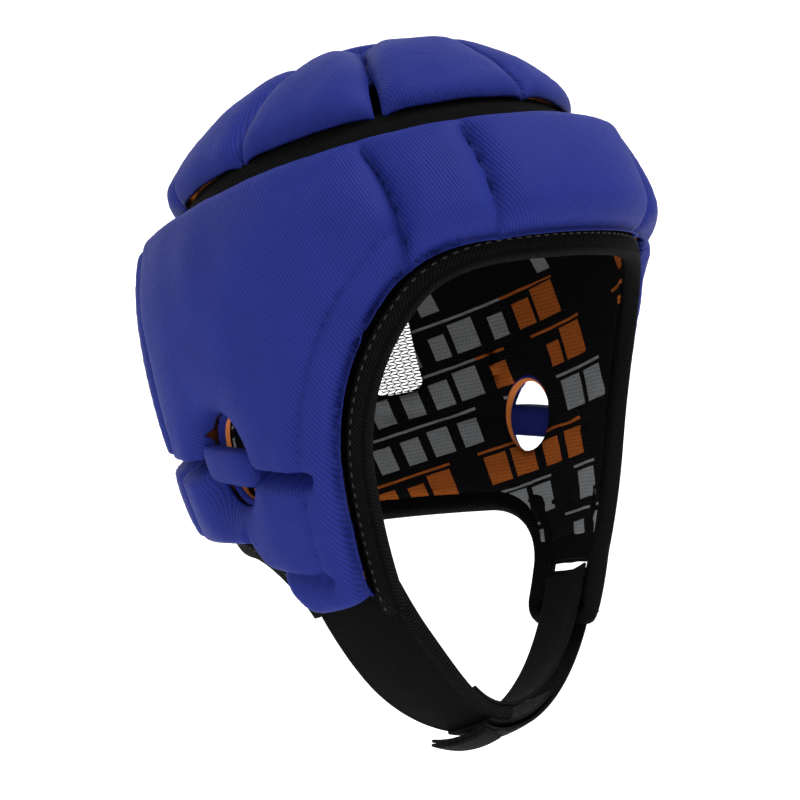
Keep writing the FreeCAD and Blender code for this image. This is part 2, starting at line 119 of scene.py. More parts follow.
# ---- the outlines that every layer is cut to, as distances: above zero is kept
cut = {
    "browLevel": -8.0, "tapeLevel": 44.0, "tapeHalf": 6.0, "tapeTilt": math.radians(4),
    "seamSlope": math.radians(12.5), "earSeam": -61.5, "jawDrop": 36.5, "earY": 15.0, "earZ": -59.0,
    "earHalfY": 13.0, "earHalfZ": 18.0, "earRim": 4.5, "rearY": 52.0, "rearX": 48.0,
    "browX": 39.0, "templeX": 65.0, "blueEnd": -120.0, "flapEnd": -148.0, "binding": 8.5,
    "slotY": -13.0, "slotZ": -131.0, "ventX": 60.0, "ventZ": -19.0,
}


def arcBetween(start, end, radius, steps=9):
    start, end = np.array(start, float), np.array(end, float)
    chord = end - start
    length = np.hypot(*chord)
    left = np.array([-chord[1], chord[0]]) / length
    center = (start + end) / 2 - left * math.copysign(math.sqrt(radius ** 2 - (length / 2) ** 2), radius)
    first = math.atan2(*(start - center)[::-1])
    sweep = (math.atan2(*(end - center)[::-1]) - first + math.pi) % (2 * math.pi) - math.pi
    angles = first + sweep * np.arange(1, steps + 1) / steps
    return [tuple(center + abs(radius) * np.array([math.cos(a), math.sin(a)])) for a in angles]


faceLine = np.array([(-240, -8), (-93, -8), *arcBetween((-93, -8), (-71, -17.5), 28),
                     *arcBetween((-71, -17.5), (-42, -74), 125), (-33, -120), (-33, -240)], float)
napeLine = np.array([(240, -74), (34, -97), *arcBetween((34, -97), (10, -124), -30), (10, -240)], float)


def lineDistance(points, line):
    # signed distance in the side view; above zero is to the left of the line
    spots = points[:, None, 1:3]
    start, run = line[:-1], np.diff(line, axis=0)
    away = spots - start
    share = np.clip((away * run).sum(2) / (run ** 2).sum(1), 0, 1)
    gap = away - share[:, :, None] * run
    length = np.sqrt((gap ** 2).sum(2))
    nearest = length.argmin(1)
    rows = np.arange(len(points))
    turned = run[nearest, 0] * away[rows, nearest, 1] - run[nearest, 1] * away[rows, nearest, 0]
    return length[rows, nearest] * np.sign(turned)


def faceEdge(p):
    return lineDistance(p, faceLine)


def napeEdge(p):
    return -lineDistance(p, napeLine)


def tapeLine(p):
    return (p[:, 2] - cut["tapeLevel"]) * math.cos(cut["tapeTilt"]) + p[:, 1] * math.sin(cut["tapeTilt"])


def earEdge(p, grow=0.0):
    reach = np.hypot((p[:, 1] - cut["earY"]) / (cut["earHalfY"] + grow),
                     (p[:, 2] - cut["earZ"]) / (cut["earHalfZ"] + grow))
    return (reach - 1) * (cut["earHalfY"] + grow)


def earSeam(p):
    return ((p[:, 2] - cut["earSeam"]) * math.cos(cut["seamSlope"])
            - (p[:, 1] - cut["earY"]) * math.sin(cut["seamSlope"]))


def jawSeam(p):
    return earSeam(p) + cut["jawDrop"]


def rearSeam(p):
    return p[:, 1] - cut["rearY"]


def blueEnd(p):
    # the padded flap ends in a curve, higher at its back corner
    corner = np.clip(p[:, 1] + 9, 0, 24)
    return p[:, 2] - cut["blueEnd"] - 0.05 * corner ** 2


def roundedBox(across, up, halfAcross, halfUp, radius):
    a, b = np.abs(across) - halfAcross + radius, np.abs(up) - halfUp + radius
    return np.hypot(np.maximum(a, 0), np.maximum(b, 0)) + np.minimum(np.maximum(a, b), 0) - radius


def ventEdge(p):
    gap = roundedBox(np.abs(p[:, 0]) - cut["ventX"], p[:, 2] - cut["ventZ"], 9, 19, 5)
    return np.where(p[:, 1] > 30, gap, 60)


def slotEdge(p):
    gap = roundedBox(p[:, 1] - cut["slotY"], p[:, 2] - cut["slotZ"], 14, 2.6, 2.4)
    return np.where(p[:, 0] > 0, gap, 60)


petals = {"seams": (0, 42, 86, 125, 180), "slits": (42, 125), "slitStart": 60.0, "slitEnd": 92.0,
          "slitWidth": 3.2, "buttonRadius": 25.0}


def spoke(p, angle):
    # along and across a seam that runs out from the crown's top
    c, s = math.cos(math.radians(angle)), math.sin(math.radians(angle))
    return p[:, 0] * s - p[:, 1] * c, p[:, 0] * c + p[:, 1] * s


def slitEdge(p):
    gap = np.full(len(p), 60.0)
    for angle in petals["slits"]:
        for sign in (-1, 1):
            along, across = spoke(p, sign * angle)
            share = np.clip((along - petals["slitStart"]) / (petals["slitEnd"] - petals["slitStart"]), 0, 1)
            half = petals["slitWidth"] * np.sin(math.pi * share) ** 0.7 / 2
            gap = np.where(along > petals["slitStart"], np.minimum(gap, np.abs(across) - half), gap)
    return gap


def ring(s, t, out):
    return onHead(s, t, out)


def dome(s, t, out):
    return onHead(np.arctan2(s, -t), math.pi / 2 - np.hypot(s, t), out)


def measure(field, chart, s, t, out=7.0):
    # distance along the surface from where the field is zero, and the step that adds a millimetre
    step = 0.003
    here = field(chart(s, t, out))
    alongS = (chart(s + step, t, out) - chart(s - step, t, out)) / (2 * step)
    alongT = (chart(s, t + step, out) - chart(s, t - step, out)) / (2 * step)
    lengthS = np.maximum(np.linalg.norm(alongS, axis=1), 1)
    lengthT = np.maximum(np.linalg.norm(alongT, axis=1), 1)
    slopeS = (field(chart(s + step, t, out)) - field(chart(s - step, t, out))) / (2 * step) / lengthS
    slopeT = (field(chart(s, t + step, out)) - field(chart(s, t - step, out))) / (2 * step) / lengthT
    slope = np.maximum(np.hypot(slopeS, slopeT), 0.25)
    return here / slope, slopeS / slope / lengthS, slopeT / slope / lengthT


def cutSheet(chart, sLine, tLine, keep, spacing, wraps=False):
    # a fine grid on the head, cut to every outline, with its border moved on to them
    s, t = (grid.ravel().copy() for grid in np.meshgrid(sLine, tLine))
    across, rows = len(sLine), len(tLine)
    column = np.arange(across if wraps else across - 1)
    row = np.arange(rows - 1)[:, None] * across
    right = (column + 1) % across
    faces = np.stack([row + column, row + right, row + right + across, row + column + across], -1).reshape(-1, 4)
    inside = np.ones(len(s), bool)
    for entry in keep:
        field, margin = entry if isinstance(entry, tuple) else (entry, 0.0)
        distance, perS, perT = measure(field, chart, s, t)
        distance = distance - margin
        near = np.abs(distance) < spacing * 0.71
        miss, perS, perT = distance[near], perS[near], perT[near]
        for again in range(3):
            miss = np.clip(miss, -spacing * 0.71, spacing * 0.71)
            s[near] -= miss * perS
            t[near] -= miss * perT
            miss, perS, perT = measure(field, chart, s[near], t[near])
            miss = miss - margin
        inside &= (distance > 0) | near
        faces = faces[~near[faces].all(1)]
    faces = faces[inside[faces].all(1)]
    used = np.unique(faces)
    order = np.zeros(len(s), int)
    order[used] = np.arange(len(used))
    return s[used], t[used], order[faces]


def slab(faces, upper, lower):
    # a closed piece from a sheet: its outer side, its inner side and the rim between them
    count = len(upper)
    edges = np.concatenate([faces[:, [i, (i + 1) % 4]] for i in range(4)])
    found, first, times = np.unique(np.sort(edges, 1), axis=0, return_index=True, return_counts=True)
    rim = edges[first[times == 1]]
    sides = np.column_stack([rim[:, 1], rim[:, 0], rim[:, 0] + count, rim[:, 1] + count])
    return np.concatenate([upper, lower]), np.concatenate([faces, faces[:, ::-1] + count, sides])


def rimOf(faces, count):
    edges = np.concatenate([faces[:, [i, (i + 1) % 4]] for i in range(4)])
    found, times = np.unique(np.sort(edges, 1), axis=0, return_counts=True)
    border = np.zeros(count, bool)
    border[found[times == 1].ravel()] = True
    return border


def makePiece(name, points, faces, materials, weave=None, wrap=None):
    mesh = bpy.data.meshes.new(name)
    mesh.from_pydata((np.asarray(points) * 0.001).tolist(), [], [list(map(int, face)) for face in faces])
    mesh.shade_smooth()
    for material in materials if isinstance(materials, list) else [materials]:
        mesh.materials.append(material)
    if weave is not None:
        corners = np.zeros(len(mesh.loops), int)
        mesh.loops.foreach_get("vertex_index", corners)
        spots = np.asarray(weave, float)[corners]
        if wrap:
            starts = np.zeros(len(mesh.polygons), int)
            sizes = np.zeros(len(mesh.polygons), int)
            mesh.polygons.foreach_get("loop_start", starts)
            mesh.polygons.foreach_get("loop_total", sizes)
            first = np.repeat(spots[starts, 0], sizes)
            spots[:, 0] -= wrap * np.round((spots[:, 0] - first) / wrap)
        layer = mesh.uv_layers.new(name="weave")
        layer.uv.foreach_set("vector", spots.astype(np.float32).ravel())
    soft = "soft" + "".join(word[:1].upper() + word[1:] for word in name.split("_"))
    piece = bpy.data.objects.new(soft, mesh)
    bpy.context.scene.collection.objects.link(piece)
    return piece


def outwardFaces(piece):
    work = bmesh.new()
    work.from_mesh(piece.data)
    bmesh.ops.recalc_face_normals(work, faces=work.faces)
    work.to_mesh(piece.data)
    work.free()


def place(piece, body, slotName, *nodes):
    outwardFaces(piece)
    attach(piece, body)
    if nodes:
        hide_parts(*nodes)
    return piece


# ---- materials
class Wire:
    def __init__(self, board, socket):
        self.board, self.socket = board, socket

    def maths(self, operation, *others):
        return self.board.node("ShaderNodeMath", {"operation": operation}, [self, *others])

    def __add__(self, other):
        return self.maths("ADD", other)

    __radd__ = __add__

    def __sub__(self, other):
        return self.maths("SUBTRACT", other)

    def __rsub__(self, other):
        return self.board.node("ShaderNodeMath", {"operation": "SUBTRACT"}, [other, self])

    def __mul__(self, other):
        return self.maths("MULTIPLY", other)

    __rmul__ = __mul__

    def __gt__(self, other):
        return self.maths("GREATER_THAN", other)

    def __lt__(self, other):
        return self.maths("LESS_THAN", other)


class Board:
    def __init__(self, name, look):
        self.material = bpy.data.materials.new(name)
        self.material.use_nodes = True
        self.tree = self.material.node_tree
        self.shader = self.tree.nodes["Principled BSDF"]
        for socket, amount in look.items():
            self.shader.inputs[socket].default_value = amount

    def node(self, kind, settings=None, inputs=(), output=0):
        made = self.tree.nodes.new(kind)
        for key, setting in (settings or {}).items():
            if key == "stops":
                while len(made.color_ramp.elements) < len(setting):
                    made.color_ramp.elements.new(0.5)
                for stop, (position, color) in zip(made.color_ramp.elements, setting):
                    stop.position, stop.color = position, color
            else:
                setattr(made, key, setting)
        for key, given in (inputs.items() if isinstance(inputs, dict) else enumerate(inputs)):
            if isinstance(given, Wire):
                self.tree.links.new(given.socket, made.inputs[key])
            else:
                made.inputs[key].default_value = given
        return Wire(self, made.outputs[output])

    def place(self):
        # the weave's own coordinates on the piece, in millimetres
        spot = self.node("ShaderNodeUVMap", {"uv_map": "weave"})
        apart = self.tree.nodes.new("ShaderNodeSeparateXYZ")
        self.tree.links.new(spot.socket, apart.inputs[0])
        return Wire(self, apart.outputs[0]), Wire(self, apart.outputs[1])

    def grain(self, size, detail=2.0):
        spot = self.node("ShaderNodeTexCoord", output=3)
        return self.node("ShaderNodeTexNoise", None, {"Vector": spot, "Scale": 1000 / size, "Detail": detail})

    def wave(self, amount, pitch):
        return (amount * (2 * math.pi / pitch)).maths("SINE") * 0.5 + 0.5

    def blend(self, share, first, second):
        return self.node("ShaderNodeMix", {"data_type": "RGBA"},
                         {"Factor": share, 6: first, 7: second}, output=2)

    def feed(self, socket, wire):
        self.tree.links.new(wire.socket, self.shader.inputs[socket])

    def bump(self, height, depth, strength=1.0):
        self.feed("Normal", self.node("ShaderNodeBump", None, {"Height": height, "Distance": depth * 0.001,
                                                               "Strength": strength}))


def color(r, g, b):
    return (r, g, b, 1)


def knitCloth():
    # ribbed stretch knit: fine ribs with small stitches along each one
    board = Board("royalKnit", {"Roughness": 0.55, "Sheen Weight": 0.02, "Sheen Roughness": 0.35,
                                "Sheen Tint": color(0.25, 0.32, 1.0), "Specular IOR Level": 0.06})
    u, v = board.place()
    patch = board.grain(22)
    lean = u + v * 0.42 + patch * 1.5
    rib = board.wave(lean, 1.15)
    stitch = board.wave(v + (rib > 0.5) * 0.5, 0.9)
    fuzz = board.grain(0.7)
    height = rib * 0.75 + stitch * 0.25
    # the colour follows the rib and stitch height: painted shade in the grooves and lighter rib tops, mixed with random
    # tone from fuzz and patch
    shade = height * 0.55 + fuzz * 0.25 + patch * 0.3
    board.feed("Base Color", board.blend(shade, color(0.0052, 0.0085, 0.070), color(0.0165, 0.0262, 0.200)))
    board.feed("Roughness", 0.5 + fuzz * 0.18)
    board.bump(height + fuzz * 0.35, 0.22, 0.8)
    return board.material


def twillTape(name, pitch, dark, light, slant=0.8):
    board = Board(name, {"Specular IOR Level": 0.05})
    u, v = board.place()
    rib = board.wave(u + v * slant, pitch)
    thread = board.wave(v - u * 0.3, 0.55)
    fuzz = board.grain(0.8)
    # the colour follows the rib height: painted highlight on the rib crests and painted shade between them, with a
    # faint thread pattern and random tone
    shade = rib * rib * 0.85 + thread * 0.1 + fuzz * 0.15
    board.feed("Base Color", board.blend(shade, dark, light))
    board.feed("Roughness", 0.78 + fuzz * 0.2)
    board.bump(rib * 0.9 + thread * 0.15 + fuzz * 0.15, 0.45)
    return board.material


def printedMesh():
    # black knitted mesh lining, printed with plain slanted blocks
    board = Board("printedLining", {"Specular IOR Level": 0.05})
    u, v = board.place()
    rise = v + u * 0.12
    rowHeight, blockWidth = 19.0, 15.0
    row = (rise * (1 / rowHeight)).maths("FLOOR")
    inRow = (rise * (1 / rowHeight)).maths("FRACT")
    shift = board.node("ShaderNodeTexWhiteNoise", {"noise_dimensions": "1D"}, {"W": row})
    lean = u - inRow * 5.0 + shift * 40
    cell = (lean * (1 / blockWidth)).maths("FLOOR")
    inCell = (lean * (1 / blockWidth)).maths("FRACT")
    pick = board.node("ShaderNodeTexWhiteNoise", {"noise_dimensions": "2D"},
                      {"Vector": board.node("ShaderNodeCombineXYZ", None, [cell, row])})
    tall = board.node("ShaderNodeTexWhiteNoise", {"noise_dimensions": "2D"},
                      {"Vector": board.node("ShaderNodeCombineXYZ", None, [row, cell])})
    inside = (inRow > 0.14) * (inRow < 0.62 + tall * 0.22) * (inCell > 0.08) * (inCell < 0.55 + tall * 0.4)
    thin = (inRow > 0.88) * (inRow < 0.94) * (pick > 0.35)
    printed = (inside * (pick > 0.4)).maths("MAXIMUM", thin)
    orange = board.node("ShaderNodeTexWhiteNoise", {"noise_dimensions": "1D"}, {"W": row + (cell * 0.25).maths("FLOOR") * 7.3})
    isOrange = orange > 0.66
    hole = board.wave(u, 1.5) * board.wave(v, 1.5)
    fuzz = board.grain(1.2)
    cloth = board.blend(hole * 0.5 + fuzz * 0.5, color(0.0008, 0.0008, 0.001), color(0.0075, 0.0075, 0.0085))
    ink = board.blend(isOrange, color(0.20, 0.21, 0.215), color(0.34, 0.085, 0.014))
    worn = printed * (0.72 + fuzz * 0.4) * (1 - hole * 0.35)
    board.feed("Base Color", board.blend(worn, cloth, ink))
    board.feed("Roughness", 0.82 + fuzz * 0.15)
    board.bump(hole * -0.7 + printed * 0.3 + fuzz * 0.3, 0.25)
    return board.material


def speckled(name, dark, light, size, roughness, depth, look=None):
    board = Board(name, look or {})
    fine, broad = board.grain(size, 4.0), board.grain(size * 14)
    board.feed("Base Color", board.blend(fine * 0.7 + broad * 0.3, dark, light))
    board.feed("Roughness", roughness + fine * 0.12)
    board.bump(fine, depth)
    return board.material


def wovenStrap(name, dark, light):
    board = Board(name, {"Specular IOR Level": 0.05})
    u, v = board.place()
    chevron = board.wave(u + board.node("ShaderNodeMath", {"operation": "PINGPONG"}, [v, 3.0]) * 0.9, 1.7)
    pick = board.wave(u, 0.85)
    fuzz = board.grain(0.6)
    board.feed("Base Color", board.blend(chevron * 0.55 + pick * 0.2 + fuzz * 0.3, dark, light))
    board.feed("Roughness", 0.7 + fuzz * 0.2)
    board.bump(chevron * 0.7 + pick * 0.3, 0.3)
    return board.material


black, nearBlack = color(0.0035, 0.0035, 0.004), color(0.016, 0.016, 0.018)
knit = knitCloth()
twill = twillTape("twillBinding", 1.5, color(0.0004, 0.0004, 0.0005), color(0.0052, 0.0053, 0.0056))
lining = printedMesh()
foam = speckled("orangeFoam", color(0.42, 0.095, 0.01), color(0.80, 0.24, 0.04), 0.9, 0.75, 0.25)
velour = speckled("loopVelour", color(0.0003, 0.0003, 0.0004), color(0.0042, 0.0043, 0.0045), 0.55, 0.86, 0.5,
                  {"Specular IOR Level": 0.04})
patchCloth = twillTape("wovenPatch", 0.9, color(0.0004, 0.0004, 0.0005), color(0.0042, 0.0042, 0.0045), 0.0)
plainLining = twillTape("plainLining", 0.9, color(0.0006, 0.0006, 0.0007), color(0.005, 0.005, 0.0055), 0.0)
webbing = wovenStrap("strapWebbing", color(0.0004, 0.0004, 0.0005), color(0.0055, 0.0055, 0.006))
hookTape = speckled("hookTape", color(0.001, 0.001, 0.0012), color(0.008, 0.008, 0.009), 1.1, 0.6, 0.6,
                    {"Specular IOR Level": 0.06})
netting = speckled("ventNetting", color(0.01, 0.01, 0.011), color(0.035, 0.035, 0.038), 0.8, 0.7, 0.1)
blackThread = speckled("blackThread", color(0.001, 0.001, 0.0012), color(0.006, 0.006, 0.0065), 0.4, 0.7, 0.08)
blueThread = speckled("blueThread", color(0.02, 0.03, 0.22), color(0.05, 0.07, 0.42), 0.4, 0.5, 0.08)
print("materials made")

# ---- how thick the padding is, place by place
padding = {"seamLow": 3.0, "panelHigh": 17.0, "petalHigh": 14.5, "coverThick": 1.2, "pressure": 120.0,
           "cap": 3.2, "frames": 20, "gridSpacing": 2.4}


def heightOf(share, high):
    return padding["seamLow"] + (high - padding["seamLow"]) * share


def panelShare(turn, lift):
    def gap(field):
        return measure(field, ring, turn, lift)[0]
    p = onHead(turn, lift, 7.0)
    face, nape, tape = gap(lambda q: faceEdge(q)), gap(napeEdge), -gap(tapeLine) - cut["tapeHalf"]
    side = smooth(np.abs(p[:, 0]), 61, 69) * (p[:, 1] < 30)
    front = smooth(-p[:, 1], 0, 20) * smooth(tape, 1, 9)
    behindMargin = smooth(face, 15.5, 17.5)
    rear = smooth(p[:, 1], 50, 54)
    seams = [
        (face - cut["binding"], 12, 0, 0.94, 1),
        (face - 20, 7.5, 0, 0.25, side * smooth(gap(jawSeam), -6, 4)),
        (nape - cut["binding"], 8, 0, 0.92, 1),
        (tape, 8, 0, 0.9, 1),
        (gap(lambda q: np.abs(q[:, 0]) - cut["browX"]), 11, 0, 0.68, front),
        (gap(lambda q: np.abs(q[:, 0]) - cut["templeX"]), 11, 0, 0.8, front),
        (gap(rearSeam), 8, 0, 0.9, 1),
        (gap(earSeam), 3.4, 1.5, 0.97, behindMargin),
        (gap(jawSeam), 7, 0, 0.62, behindMargin * (1 - rear)),
        (gap(earEdge), 12, 0, 0.8, 1),
        (gap(blueEnd), 8, 0, 0.9, 1),
        (gap(lambda q: np.abs(q[:, 0]) - cut["rearX"]), 8.5, 0, 0.8, rear),
        (gap(ventEdge), 7, 0, 0.75, rear),
    ]
    share = np.ones(len(turn))
    for distance, radius, flat, depth, where in seams:
        share *= 1 - depth * where * (1 - shoulder(distance, radius, flat))
    return share


def petalShare(s, t):
    p = dome(s, t, 7.0)
    away = np.hypot(p[:, 0], p[:, 1])
    tape = measure(tapeLine, dome, s, t)[0] - cut["tapeHalf"]
    share = 1 - 0.94 * (1 - shoulder(tape, 10.5))
    button = away - petals["buttonRadius"]
    share *= 1 - 0.45 * (1 - shoulder(button, 8))
    for angle, radius, depth in ((0, 9.5, 0.46), (42, 11, 0.9), (86, 11.5, 0.86), (125, 11, 0.9),
                                 (180, 9.5, 0.6)):
        for sign in ((1,) if angle in (0, 180) else (-1, 1)):
            along, across = spoke(p, sign * angle)
            where = smooth(away, 22, 34) * (along > 0)
            share *= 1 - depth * where * (1 - shoulder(across, radius))
    return share


def settle(name, points, faces, pinned):
    # the cover swells a little over its foam, held at every seam and edge
    piece = makePiece(name + "Sim", points, faces, knit)
    group = piece.vertex_groups.new(name="pinned")
    for index, weight in enumerate(pinned):
        if weight > 0.02:
            group.add([index], float(weight), "REPLACE")
    cloth = piece.modifiers.new("Cloth", "CLOTH")
    cloth.settings.vertex_group_mass = "pinned"
    cloth.settings.use_pressure = True
    cloth.settings.uniform_pressure_force = padding["pressure"]
    cloth.settings.effector_weights.gravity = 0
    cloth.settings.tension_stiffness = 8
    cloth.settings.compression_stiffness = 8
    cloth.settings.bending_stiffness = 0.6
    cloth.settings.quality = 4
    cloth.collision_settings.use_collision = False
    cloth.point_cache.frame_start, cloth.point_cache.frame_end = 1, padding["frames"]
    scene = bpy.context.scene
    for number in range(1, padding["frames"] + 1):
        scene.frame_set(number)
    view = piece.evaluated_get(bpy.context.evaluated_depsgraph_get())
    moved = np.zeros(len(points) * 3)
    view.data.vertices.foreach_get("co", moved)
    moved = moved.reshape(-1, 3) * 1000
    scene.frame_set(1)
    bpy.data.objects.remove(piece)
    change = np.nan_to_num(moved - points)
    length = np.linalg.norm(change, axis=1)
    share = np.minimum(1, padding["cap"] / np.maximum(length, 1e-6))
    print("  ", name, "settled: mean", round(float(length.mean()), 2), "most", round(float(length.max()), 2))
    return points + change * share[:, None]


def refine(points, faces):
    # one subdivision of an open sheet
    piece = makePiece("refine", points, faces, knit)
    level = piece.modifiers.new("Subdivision", "SUBSURF")
    level.levels = level.render_levels = 1
    mesh = bpy.data.meshes.new_from_object(piece.evaluated_get(bpy.context.evaluated_depsgraph_get()))
    finer = np.zeros(len(mesh.vertices) * 3)
    mesh.vertices.foreach_get("co", finer)
    corners = np.zeros(len(mesh.loops), int)
    mesh.loops.foreach_get("vertex_index", corners)
    bpy.data.objects.remove(piece)
    bpy.data.meshes.remove(mesh)
    return finer.reshape(-1, 3) * 1000, corners.reshape(-1, 4)


def weaveOf(turn, lift):
    # millimetres round the head and up it
    return np.column_stack([turn * 90, np.where(lift >= 0, lift * 100, lift * 150)])


def petalWeave(points, lift):
    # the ribs run out from the crown's top along the middle of each petal
    plan = np.degrees(np.arctan2(points[:, 0], -points[:, 1]))
    seams = np.array(petals["seams"])
    index = np.clip(np.digitize(np.abs(plan), seams) - 1, 0, len(seams) - 2)
    middle = np.radians(np.sign(plan) * (seams[index] + seams[index + 1]) / 2)
    return np.column_stack([points[:, 0] * np.cos(middle) + points[:, 1] * np.sin(middle) + 40 * index, lift * 95])


def paddedCover(name, chart, sLine, tLine, keep, shareOf, high, wraps=False):
    s, t, faces = cutSheet(chart, sLine, tLine, keep, padding["gridSpacing"], wraps)
    share = shareOf(s, t)
    points = chart(s, t, heightOf(share, high))
    loose = points
    held = np.maximum(rimOf(faces, len(points)), 1 - smooth(share, 0.35, 0.8))
    loose = settle(name, points, faces, held)
    swell = offHead(refine(loose, faces)[0])[2]
    points, faces = refine(points, faces)
    turn, lift, out = offHead(points)
    swell -= out
    if chart is dome:
        colat = math.pi / 2 - lift
        fineShare = petalShare(colat * np.sin(turn), -colat * np.cos(turn))
    else:
        fineShare = shareOf(turn, lift)
    nearSeam = 1 - smooth(fineShare, 0.05, 0.6)
    out = heightOf(fineShare, high) + swell + 3 * fineShare * smooth(points[:, 1], 5, 55)
    out += (0.30 * unevenness(points, 26, 3) * (1 - nearSeam) + 0.32 * unevenness(points, 7, 5) * nearSeam
            + 0.06 * unevenness(points, 3.5, 8))
    weave = weaveOf(turn, lift) if chart is ring else petalWeave(points, lift)
    upper = onHead(turn, lift, out)
    lower = onHead(turn, lift, out - padding["coverThick"])
    points, faces = slab(faces, upper, lower)
    piece = makePiece(name, points, faces, knit, np.concatenate([weave, weave]),
                      2 * math.pi * 90 if chart is ring else None)
    print("  ", name, len(points), "points")
    return place(piece, "shell", "knit", name)


fullTurn = np.linspace(-math.pi, math.pi, 232, endpoint=False)
bandLifts = np.concatenate([np.arcsin(np.arange(-122, 0, 2.35) / head["drop"]),
                            np.arcsin(np.arange(0, 50, 2.35) / head["rise"])])


def onBand(p):
    return -tapeLine(p) - cut["tapeHalf"]


def frontOfSeam(p):
    return cut["rearY"] - 0.15 - p[:, 1]


def behindSeam(p):
    return p[:, 1] - cut["rearY"] - 0.15


faceTrim, napeTrim = (faceEdge, cut["binding"] - 1.4), (napeEdge, cut["binding"] - 1.4)
earTrim = (earEdge, 0.5)


print("covers")
bandCover = paddedCover("band_cover", ring, fullTurn, bandLifts,
                        [onBand, frontOfSeam, faceTrim, napeTrim, blueEnd, earTrim], panelShare,
                        padding["panelHigh"], True)
rearCover = paddedCover("rear_cover", ring, np.linspace(0.3 * math.pi, 1.7 * math.pi, 162), bandLifts,
                        [onBand, behindSeam, napeTrim, ventEdge], panelShare, padding["panelHigh"])
domeLine = np.linspace(-1.42, 1.42, 112)
crownCover = paddedCover("crown_cover", dome, domeLine, domeLine,
                         [lambda p: tapeLine(p) - cut["tapeHalf"], slitEdge], petalShare, padding["petalHigh"])

# ---- foam pads under the covers, each a closed piece
pads = {"spacing": 4.0, "under": 2.6, "inner": 1.5}


def foamPad(name, chart, keep):
    if chart is ring:
        s, t, faces = cutSheet(ring, fullTurn[::2], bandLifts[::2], keep, pads["spacing"] + 0.6, True)
        share, high = panelShare(s, t), padding["panelHigh"]
    else:
        s, t, faces = cutSheet(dome, domeLine[::2], domeLine[::2], keep, pads["spacing"] + 0.6)
        share, high = petalShare(s, t), padding["petalHigh"]
    top = np.maximum(heightOf(share, high) - pads["under"], pads["inner"] + 0.6)
    upper, lower = chart(s, t, top), chart(s, t, np.full(len(s), pads["inner"]))
    points, faces = slab(faces, upper, lower)
    piece = makePiece(name, points, faces, foam)
    place(piece, "shell", "foam", name)
    return piece


def within(field, low, high):
    return [lambda p: field(p) - low, lambda p: high - field(p)]


half = 3.0
overEar = [lambda p: earSeam(p) - half]
cheek = [lambda p: -earSeam(p) - half, lambda p: jawSeam(p) - half]
common = [(onBand, 2.5), (faceEdge, 10), (napeEdge, 10)]
ahead, behind = [lambda p: cut["rearY"] - half - p[:, 1]], [lambda p: p[:, 1] - cut["rearY"] - half]
aroundEar = [(earEdge, 9.5)]
print("foam pads")
foamPad("forehead_pad", ring, common + ahead + [lambda p: cut["browX"] - half - np.abs(p[:, 0]),
                                                lambda p: -p[:, 1]])
rearMiddle = [lambda p: cut["rearX"] - half - np.abs(p[:, 0])]
foamPad("rear_center_pad", ring, common + behind + overEar + rearMiddle)
foamPad("nape_center_pad", ring, common + behind + cheek[:1] + rearMiddle)
for sideName, sign in (("right", -1), ("left", 1)):
    def mine(p, sign=sign):
        return p[:, 0] * sign
    foamPad("brow_pad_" + sideName, ring, common + ahead
            + [lambda p: mine(p) - cut["browX"] - half, lambda p: cut["templeX"] - half - mine(p),
               lambda p: -p[:, 1]])
    sidePanel = [lambda p: mine(p) - (cut["templeX"] + half) * (1 - smooth(p[:, 1], -45, -5))]
    foamPad("side_pad_" + sideName, ring, common + ahead + overEar + aroundEar + sidePanel)
    foamPad("cheek_pad_" + sideName, ring, common + ahead + cheek + aroundEar + [mine])
    foamPad("jaw_pad_" + sideName, ring, common + ahead + [lambda p: -jawSeam(p) - half, mine,
                                                           (blueEnd, 3)])
    outer = [lambda p: mine(p) - cut["rearX"] - half, (ventEdge, 4)]
    foamPad("rear_side_pad_" + sideName, ring, common + behind + overEar + outer)
    foamPad("nape_side_pad_" + sideName, ring, common + behind + cheek[:1] + outer[:1])
overTape = [(tapeLine, cut["tapeHalf"] + 8)]
foamPad("crown_top_pad", dome, [lambda p: petals["buttonRadius"] - np.hypot(p[:, 0], p[:, 1])])
for index, petal in enumerate(("front", "side_front", "side_rear", "rear")):
    low, high = petals["seams"][index], petals["seams"][index + 1]
    for sideName, sign in (("right", -1), ("left", 1)):
        edges = [lambda p, a=low, s=sign: spoke(p, s * a)[1] * s - half,
                 lambda p, a=high, s=sign: -spoke(p, s * a)[1] * s - half,
                 lambda p: np.hypot(p[:, 0], p[:, 1]) - petals["buttonRadius"] - half]
        foamPad("crown_pad_%s_%s" % (petal, sideName), dome, overTape + edges)
print("pads made")

# ---- the lining against the head, and the netting in the rear windows
liningCut = {"thick": 1.0, "quilting": 0.9}


def liningPiece(name, chart, sLine, tLine, keep, shareOf, wraps=False):
    s, t, faces = cutSheet(chart, sLine, tLine, keep, 3.0, wraps)
    out = 1.1 - liningCut["quilting"] * smooth(shareOf(s, t), 0.1, 0.9)
    points = chart(s, t, out)
    turn, lift, out = offHead(points)
    out = out + 0.12 * unevenness(points, 15, 11)
    outerFaces = len(faces)
    points, faces = slab(faces, onHead(turn, lift, out), onHead(turn, lift, out - liningCut["thick"]))
    weave = weaveOf(turn, lift)
    piece = makePiece(name, points, faces, [lining, plainLining], np.concatenate([weave, weave]), 2 * math.pi * 90)
    piece.data.polygons.foreach_set("material_index", (np.arange(len(faces)) < outerFaces).astype(np.int32))
    place(piece, "shell", "lining", name)
    return piece


bandLining = liningPiece("band_lining", ring, fullTurn[::1], bandLifts,
                         [lambda p: -tapeLine(p), (faceEdge, 4.0), (napeEdge, 4.0),
                          lambda p: p[:, 2] - cut["blueEnd"], earEdge, ventEdge], panelShare, True)
crownLining = liningPiece("crown_lining", dome, domeLine, domeLine, [lambda p: tapeLine(p)], petalShare)

